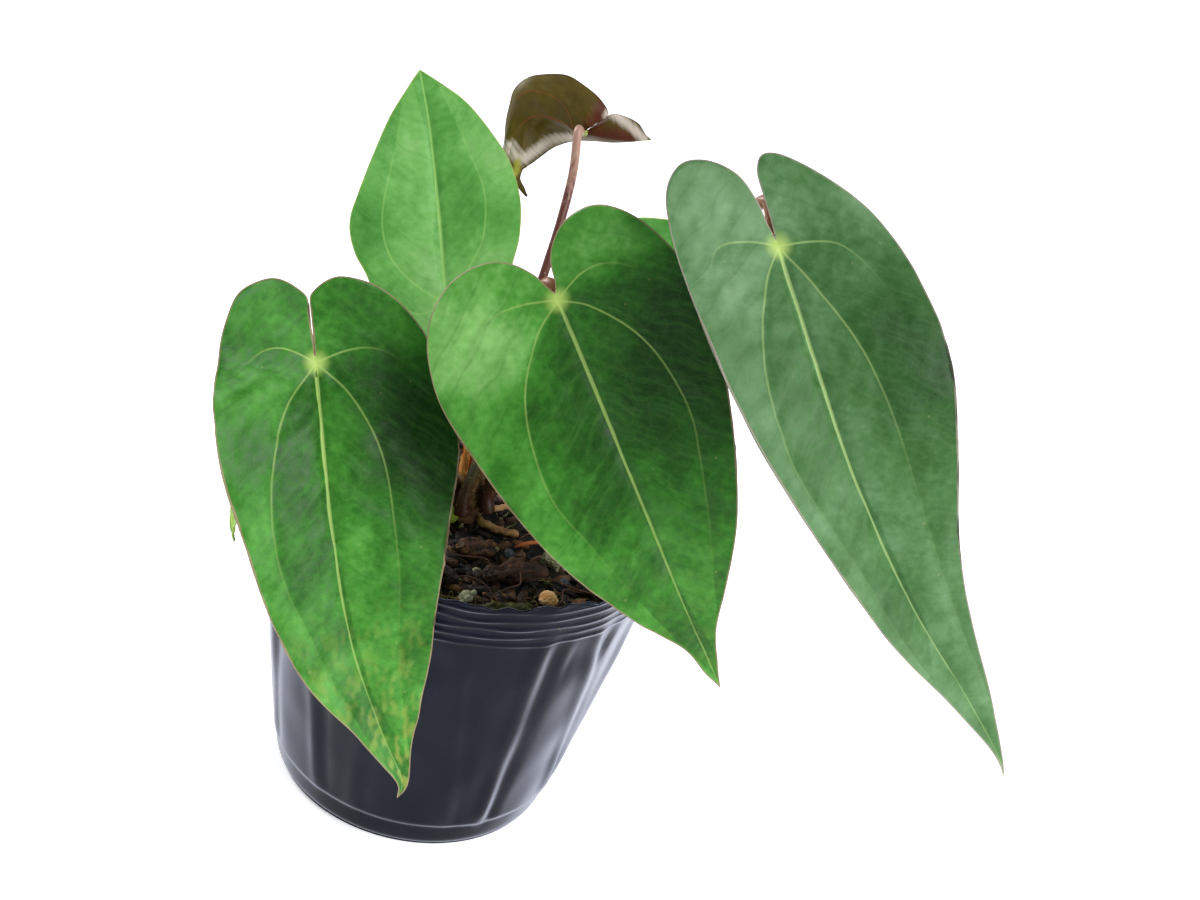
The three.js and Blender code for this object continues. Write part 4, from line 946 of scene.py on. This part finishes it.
def leaf_skin(name, upper, under, vein, edge, roughness, scars, washes=(), vein_width=0.42):
    """Living leaf: a waxy skin over green tissue. It gives the eye soft patches and a fine mottle,
    pale veins with a faint net between them, a thin coloured margin, a few scars, a soft uneven
    gloss, and a duller, paler underside. "upper" and "under" are colours from dark to pale, and
    a wash is a colour laid on where the blade carries a value of that name."""
    finish, tree, shader = new_finish(name, IOR=1.45, Specular_IOR_Level=0.24)
    add = partial(add_node, tree)
    smooth = {"interpolation_type": "SMOOTHSTEP"}
    over = {"take": 2, "data_type": "RGBA"}
    across, along, tone, rung, side_gap, lobe_gap, rim_gap, is_upper = (
        add("Attribute", take="Fac", attribute_name=attribute)
        for attribute in ("across", "along", "tone", "rung", "side_vein", "lobe_vein", "margin", "skin")
    )
    flat = add("CombineXYZ", [across, along])

    # The tone is seven parts of patches, three of mottle, and the tone that the blade carries, which holds
    # painted light and shade
    patch = add("TexNoise", {"Vector": flat, "Scale": 1 / PATCH, "Detail": 3.0})
    mottle = add("TexNoise", {"Vector": flat, "Scale": 1 / MOTTLE, "Detail": 5.0})
    patch_part = add("Math", [patch, 0.72], operation="MULTIPLY")
    mottle_part = add("Math", [mottle, 0.28], operation="MULTIPLY")
    own_tone = add("Math", [patch_part, mottle_part], operation="ADD")
    tone = add("Math", [own_tone, tone], operation="ADD")
    upper_side = add("ValToRGB", [tone], list(zip((0.1, 0.34, 0.5, 0.66, 0.95), upper)))
    under_side = add("ValToRGB", [tone], [(0.3, under[0]), (0.7, under[1])])

    # The net has a coarse and a fine mesh, both with wandering sides
    warp = add("TexNoise", {"Vector": flat, "Scale": 1 / NET_WANDER, "Detail": 2.0}, take="Color")
    shift = add("VectorMath", [warp, (1.6, 1.6, 0)], operation="MULTIPLY")
    bent = add("VectorMath", [flat, shift], operation="ADD")
    meshes = []
    for mesh, reach, strength in ((NET_MESH, 0.1, 1.0), (FINE_MESH, 0.16, 0.6)):
        gap = add("TexVoronoi", {"Vector": bent, "Scale": 1 / mesh}, feature="DISTANCE_TO_EDGE")
        meshes.append(add("MapRange", [gap, 0.0, reach, strength, 0.0], **smooth))
    net = add("Math", meshes, operation="MAXIMUM")
    net_amount = add("Math", [net, NET_STRENGTH], operation="MULTIPLY")

    # Cross veins slant out from the midrib at even distances, and streaks follow them
    from_zero = add("Math", [rung, 500.0], operation="ADD")
    rung_gap = add("Math", [from_zero, RUNG_SPACING / 2], operation="PINGPONG")
    off_rung = add("MapRange", [rung_gap, 0.0, 0.9, 0.0, 1.0], **smooth)
    drawn_out = add("Math", [across, 0.25], operation="MULTIPLY")
    feather = add("CombineXYZ", [drawn_out, rung])
    streak = add("TexNoise", {"Vector": feather, "Scale": 1 / STREAK, "Detail": 4.0})

    # The midrib tapers to the tip, the side veins die away beyond the middle of the blade, and
    # the lobe veins towards the margin
    aside, side_gap, lobe_gap = (
        add("Math", [gap], operation="ABSOLUTE") for gap in (across, side_gap, lobe_gap)
    )
    taper = add("MapRange", [along, 0.0, 110.0, 1.0, 0.4], **smooth)
    mid_gap = add("Math", [aside, taper], operation="DIVIDE")
    below_joint = add("MapRange", [along, -4.0, -1.0, 0.0, 1.0], **smooth)
    mid_line = add("MapRange", [mid_gap, vein_width * 0.5, vein_width * 1.6, 1.0, 0.0], **smooth)
    mid_line = add("Math", [mid_line, below_joint], operation="MULTIPLY")
    side_line = add("MapRange", [side_gap, vein_width * 0.15, vein_width, 0.55, 0.0], **smooth)
    lobe_line = add("MapRange", [lobe_gap, vein_width * 0.15, vein_width, 0.6, 0.0], **smooth)
    mid_fade = add("MapRange", [along, 0.0, 140.0, 0.9, 0.3], **smooth)
    side_fade = add("MapRange", [along, 5.0, 75.0, 1.0, 0.08], **smooth)
    lobe_fade = add("MapRange", [aside, 24.0, 6.0, 0.0, 1.0], **smooth)
    mid_vein, side_vein, lobe_vein = (
        add("Math", pair, operation="MULTIPLY")
        for pair in ((mid_line, mid_fade), (side_line, side_fade), (lobe_line, lobe_fade))
    )
    outer_veins = add("Math", [side_vein, lobe_vein], operation="MAXIMUM")
    veins = add("Math", [outer_veins, mid_vein], operation="MAXIMUM")

    # Coats over the tone, each as an amount and a colour: streaks, cross veins, net, washes,
    # veins, the pale star where the stalk joins, and scars. The washes are worn and yellow flecks,
    # and on the young leaf painted shade and painted highlights.
    washed = [(add("Attribute", take="Fac", attribute_name=wash), colour) for wash, colour in washes]
    from_joint = add("VectorMath", [flat], take="Value", operation="LENGTH")
    from_scar = add("TexVoronoi", {"Vector": flat, "Scale": 1 / SCAR_SPACING})
    scar = add("MapRange", [from_scar, 0.02, 0.06, 0.6, 0.0], **smooth)
    coats = [
        (add("MapRange", [streak, 0.4, 0.75, 0.0, 0.18], **smooth), upper[3]),
        (add("MapRange", [streak, 0.5, 0.25, 0.0, 0.16], **smooth), upper[1]),
        (add("MapRange", [off_rung, 0.0, 1.0, 0.16, 0.0], **smooth), upper[1]),
        (net_amount, vein),
        *washed,
        (veins, vein),
        (add("MapRange", [from_joint, 0.4, 4.5, 0.8, 0.0], **smooth), "#aec766"),
        (add("Math", [scar, scars], operation="MULTIPLY"), "#a8a36a"),
    ]
    for amount, colour in coats:
        upper_side = add("Mix", {0: amount, 6: upper_side, 7: linear(colour)}, **over)
    for amount, colour in [(add("Math", [veins, 0.6], operation="MULTIPLY"), vein), *washed]:
        under_side = add("Mix", {0: amount, 6: under_side, 7: linear(colour)}, **over)
    upper_share = add("MapRange", [is_upper, 0.4, 0.6, 0.0, 1.0], **smooth)
    skin = add("Mix", {0: upper_share, 6: under_side, 7: upper_side}, **over)
    ragged = add("Math", [mottle, 0.25], operation="MULTIPLY")
    rim_gap = add("Math", [rim_gap, ragged], operation="SUBTRACT")
    rim = add("MapRange", [rim_gap, 0.05, 0.34, 0.8, 0.0], **smooth)
    skin = add("Mix", {0: rim, 6: skin, 7: linear(edge)}, **over)

    waxy = add("MapRange", [mottle, 0.3, 0.7, roughness, roughness + 0.12], **smooth)
    duller = add("MapRange", [is_upper, 0.6, 0.4, 0.0, 0.18], **smooth)
    gloss = add("Math", [waxy, duller], operation="ADD")
    grain = add("TexNoise", {"Vector": flat, "Scale": 1 / GRAIN, "Detail": 3.0})
    grain_part = add("Math", [grain, 0.5], operation="MULTIPLY")
    net_part = add("Math", [net, 0.25], operation="MULTIPLY")
    height = add("Math", [grain_part, net_part], operation="SUBTRACT")
    bump = add("Bump", {"Height": height, "Strength": 0.16, "Distance": 0.3 * MM})
    tree.links.new(skin, shader.inputs["Base Color"])
    tree.links.new(gloss, shader.inputs["Roughness"])
    tree.links.new(bump, shader.inputs["Normal"])
    return finish


SKINS = {
    # A grown leaf: deep warm green, yellow-flecked where it is worn, with a brownish margin
    "leaf_green": leaf_skin(
        "green_anthurium_leaf", ("#0a3203", "#184c0a", "#2b6b18", "#478930", "#80b464"),
        ("#4d7a3b", "#6b9552"), "#90ad5a", "#8f765f", 0.38, 0.35, [("worn", "#8f9a45")],
    ),
    # The longest leaf: a duller, bluish green with a grey margin
    "leaf_blue_green": leaf_skin(
        "blue_green_anthurium_leaf", ("#1c3f18", "#2b5522", "#3e6736", "#557b4f", "#7c9a76"),
        ("#4d7548", "#6f9267"), "#95b06c", "#8f8378", 0.42, 0.3,
    ),
    # Leaves of the last season: fresh mid green and unmarked
    "leaf_young_green": leaf_skin(
        "young_green_anthurium_leaf", ("#2a641d", "#3b7b2b", "#50903c", "#6aa552", "#90bb7a"),
        ("#5f9246", "#7dab60"), "#8cba62", "#8fa050", 0.4, 0.0,
    ),
    # A leaf that has just opened: glossy olive bronze, with bands of painted shade in dark red and
    # of painted highlight in silvery grey
    "leaf_bronze": leaf_skin(
        "bronze_young_leaf", ("#24160a", "#3a2410", "#573617", "#6e4c22", "#856334"),
        ("#3b2e06", "#574b0a"), "#7c3f26", "#38200f", 0.26, 0.0,
        [("dark", "#4a1f0c"), ("pale", "#b5a99c"), ("yellow", "#8d8a2e")], 0.3,
    ),
    # A small old leaf on its way out: bright yellowish green
    "leaf_yellow": leaf_skin(
        "yellowing_leaf", ("#557d20", "#6f9a2a", "#8bb53a", "#a9cb55", "#c3dc7c"),
        ("#7fa535", "#9cbd52"), "#bfd77a", "#8fae45", 0.42, 0.4,
    ),
}

for number, (name, leaf) in enumerate(LEAVES.items()):
    points, faces, values = blade(leaf, 100 + 10 * number)
    slot = leaf["skin"]
    add_piece("leaf_blade_" + name, points, faces, SKINS[slot], slot, ["blade_" + name], **values)

# A stalk is a fleshy rod with a shallow groove. It starts in a sheath beside the crown, bows
# outwards, and ends in a swollen joint under the blade that turns the blade to the light.

CROWN_PLACE, CROWN_FOOT = (-1, -9), 96.3
CROWN_RADIUS, CROWN_TOP_RADIUS, CROWN_HEIGHT = 6, 4.4, 13
SEAT, SHEATH_RADIUS, SHEATH_LENGTH = 0.3, 2.3, 8
JOINT_LENGTH, JOINT_SWELL = 5, 1.15
STALK_SIDES, GROOVE_SHARE = 20, 0.1
STALK_STREAK, FLECK = 1.11, 1.43


def beside_crown(turn, rise, clear):
    """A point beside the crown: its radius there, which narrows evenly with height, plus the
    seat's gap and what the stalk needs to be clear of it."""
    radius = CROWN_RADIUS + (CROWN_TOP_RADIUS - CROWN_RADIUS) * rise / CROWN_HEIGHT + SEAT + clear
    x, y = CROWN_PLACE
    way = math.radians(turn)
    return x + radius * math.cos(way), y + radius * math.sin(way), CROWN_FOOT + rise


def tube(line, radius, sides, ripple=0):
    """A closed round rod along a line: each ring stands square to the line and starts where the
    one before did, so the rod doesn't twist, and the end rings are closed to a point."""
    along = unit(np.gradient(line, axis=0))
    side = np.zeros_like(line)
    side[0] = unit(np.cross(along[0], (0.3, 0.9, 0.1)))
    for i in range(1, len(line)):
        side[i] = unit(side[i - 1] - along[i] * (side[i - 1] @ along[i]))
    other = np.cross(along, side)
    turn = np.arange(sides) * 2 * math.pi / sides
    radius = radius[:, None] + ripple
    radius[[0, -1]] = 0
    ring = side[:, None] * np.cos(turn)[None, :, None] + other[:, None] * np.sin(turn)[None, :, None]
    return (line[:, None] + radius[..., None] * ring).reshape(-1, 3), grid_faces(len(line), sides, True)


def stalk_skin(name, low, high, joint, roughness=0.38):
    """A smooth waxy skin that turns from its base colour to its top colour on the way up, plus a
    quarter of a noise drawn out upwards as fine streaks, with small pale flecks."""
    finish, tree, shader = new_finish(name, IOR=1.45, Roughness=roughness)
    add = partial(add_node, tree)
    where = add("TexCoord", take="Object")
    rise = add("Attribute", take="Fac", attribute_name="rise")
    upright = add("Mapping", {"Vector": where, "Scale": (1, 1, 0.15)})
    streak = add("TexNoise", {"Vector": upright, "Scale": 1 / (STALK_STREAK * MM), "Detail": 4.0})
    wobble = add("Math", [streak, 0.25], operation="MULTIPLY")
    place = add("Math", [rise, wobble], operation="ADD")
    shade = add("ValToRGB", [place], [(0.12, low), (0.55, high), (0.9, high), (1.0, joint)])
    from_fleck = add("TexVoronoi", {"Vector": where, "Scale": 1 / (FLECK * MM)})
    fleck = add("MapRange", [from_fleck, 0.12, 0.2, 0.35, 0.0])
    skin = add("Mix", {0: fleck, 6: shade, 7: linear("#b7a77c")}, take=2, data_type="RGBA")
    bump = add("Bump", {"Height": streak, "Strength": 0.25, "Distance": 0.3 * MM})
    tree.links.new(skin, shader.inputs["Base Color"])
    tree.links.new(bump, shader.inputs["Normal"])
    return finish


# Grown stalks: dark reddish brown at the base, olive above, reddish at the joint
green_stalk = stalk_skin("green_leaf_stalk", "#3a180d", "#46521f", "#8a5230")
# The young leaf's stalk: dark red-brown, with a pinkish joint
pink_stalk = stalk_skin("pink_young_stalk", "#34120b", "#54271c", "#9c7868")

for number, (name, leaf) in enumerate(LEAVES.items()):
    place, _, _, up = (part[0] for part in on_spine(spine_of(leaf), np.zeros(1)))
    end = place - up * (BLADE_THICKNESS / 2 + SEAT)
    low = beside_crown(leaf["turn"], 4.5, SHEATH_RADIUS)
    high = beside_crown(leaf["turn"], 12.5, SHEATH_RADIUS + SEAT)
    line = curve([low, high, *leaf["stalk"], end - up * JOINT_LENGTH, end], 160)
    run = np.r_[0, np.cumsum(np.linalg.norm(np.diff(line, axis=0), axis=1))]
    left = run[-1] - run
    base = leaf["stalk_radius"]
    swell = base * (leaf.get("swell", JOINT_SWELL) - 1)
    radius = base * (1 + 0.03 * waves(200 + number, 20, run))
    radius += (SHEATH_RADIUS - base) * np.clip(1 - run / SHEATH_LENGTH, 0, 1) ** 0.7
    radius += swell * bell(left - JOINT_LENGTH / 2, JOINT_LENGTH / 2.2)
    radius *= np.sqrt(np.clip(left / 1.2, 0, 1))
    turn = np.arange(STALK_SIDES) * 2 * math.pi / STALK_SIDES
    groove = -GROOVE_SHARE * base * bell(np.minimum(turn, 2 * math.pi - turn), 0.5)[None, :]
    points, faces = tube(line, radius, STALK_SIDES, groove)
    young = name == "young_bronze"
    finish, slot = (pink_stalk, "stalk_pink") if young else (green_stalk, "stalk")
    rise = np.repeat(run / run[-1], STALK_SIDES)
    add_piece("leaf_stalk_" + name, points, faces, finish, slot, ["stalk_" + name], rise=rise)

# Beside the crown lies or stands what has dropped or grown since: a dead orange root, long
# shreds of bark fibre along the pot's front, and one green bud. Each has its finish, slot,
# half thickness and way. They lie loose on the mix or stand in it.

# Green bud: a fresh yellowish green tip
bud_finish = stalk_skin("green_bud", "#5c6a1a", "#93a838", "#b9c25a")
# Dead root: dull orange and dry
dead_root = stalk_skin("dead_root", "#8a3f1a", "#b8622c", "#c98a52", 0.6)
# Bark shred: dark brown, dull fibre
shred = stalk_skin("bark_shred", "#1d0d06", "#452412", "#5e3820", 0.75)
LITTER = {
    "bud": (bud_finish, "crown", 1.5, [(-3.5, -17, 97), (-2.6, -16.6, 99.5), (-0.6, -16, 103)]),
    "orange_root": (dead_root, "root", 0.45, [(16.5, -22.5, 98.5), (20, -21.5, 100.2), (27, -19, 101.6)]),
    "shred_1": (shred, "bark", 0.2, [(14, -46, 97), (18, -44, 99.4), (21, -39, 98.6), (20, -34, 99)]),
    "shred_2": (shred, "bark", 0.2, [(22, -37, 98), (28, -35.5, 100), (35, -36, 99.4), (41, -34, 98)]),
    "shred_3": (shred, "bark", 0.17, [(2, -45, 97), (6, -43, 99.2), (12, -45, 99.6), (17, -49, 97.6)]),
    "shred_4": (shred, "bark", 0.2, [(-2, -33, 98), (4, -35, 99.8), (10, -33, 99.4), (14, -36, 98)]),
    "shred_5": (shred, "bark", 0.17, [(30, -46, 97), (33, -43, 99), (33, -38, 99.6), (38, -35, 98)]),
}
t = np.linspace(0, 1, 60)
spindle = 0.25 + np.sin(math.pi * np.clip(t, 0.02, 0.98)) ** 0.5
for name, (finish, slot, thick, route) in LITTER.items():
    points, faces = tube(curve(route, 60), thick * spindle, 10)
    add_piece(name, points, faces, finish, slot, rise=np.repeat(t, 10))
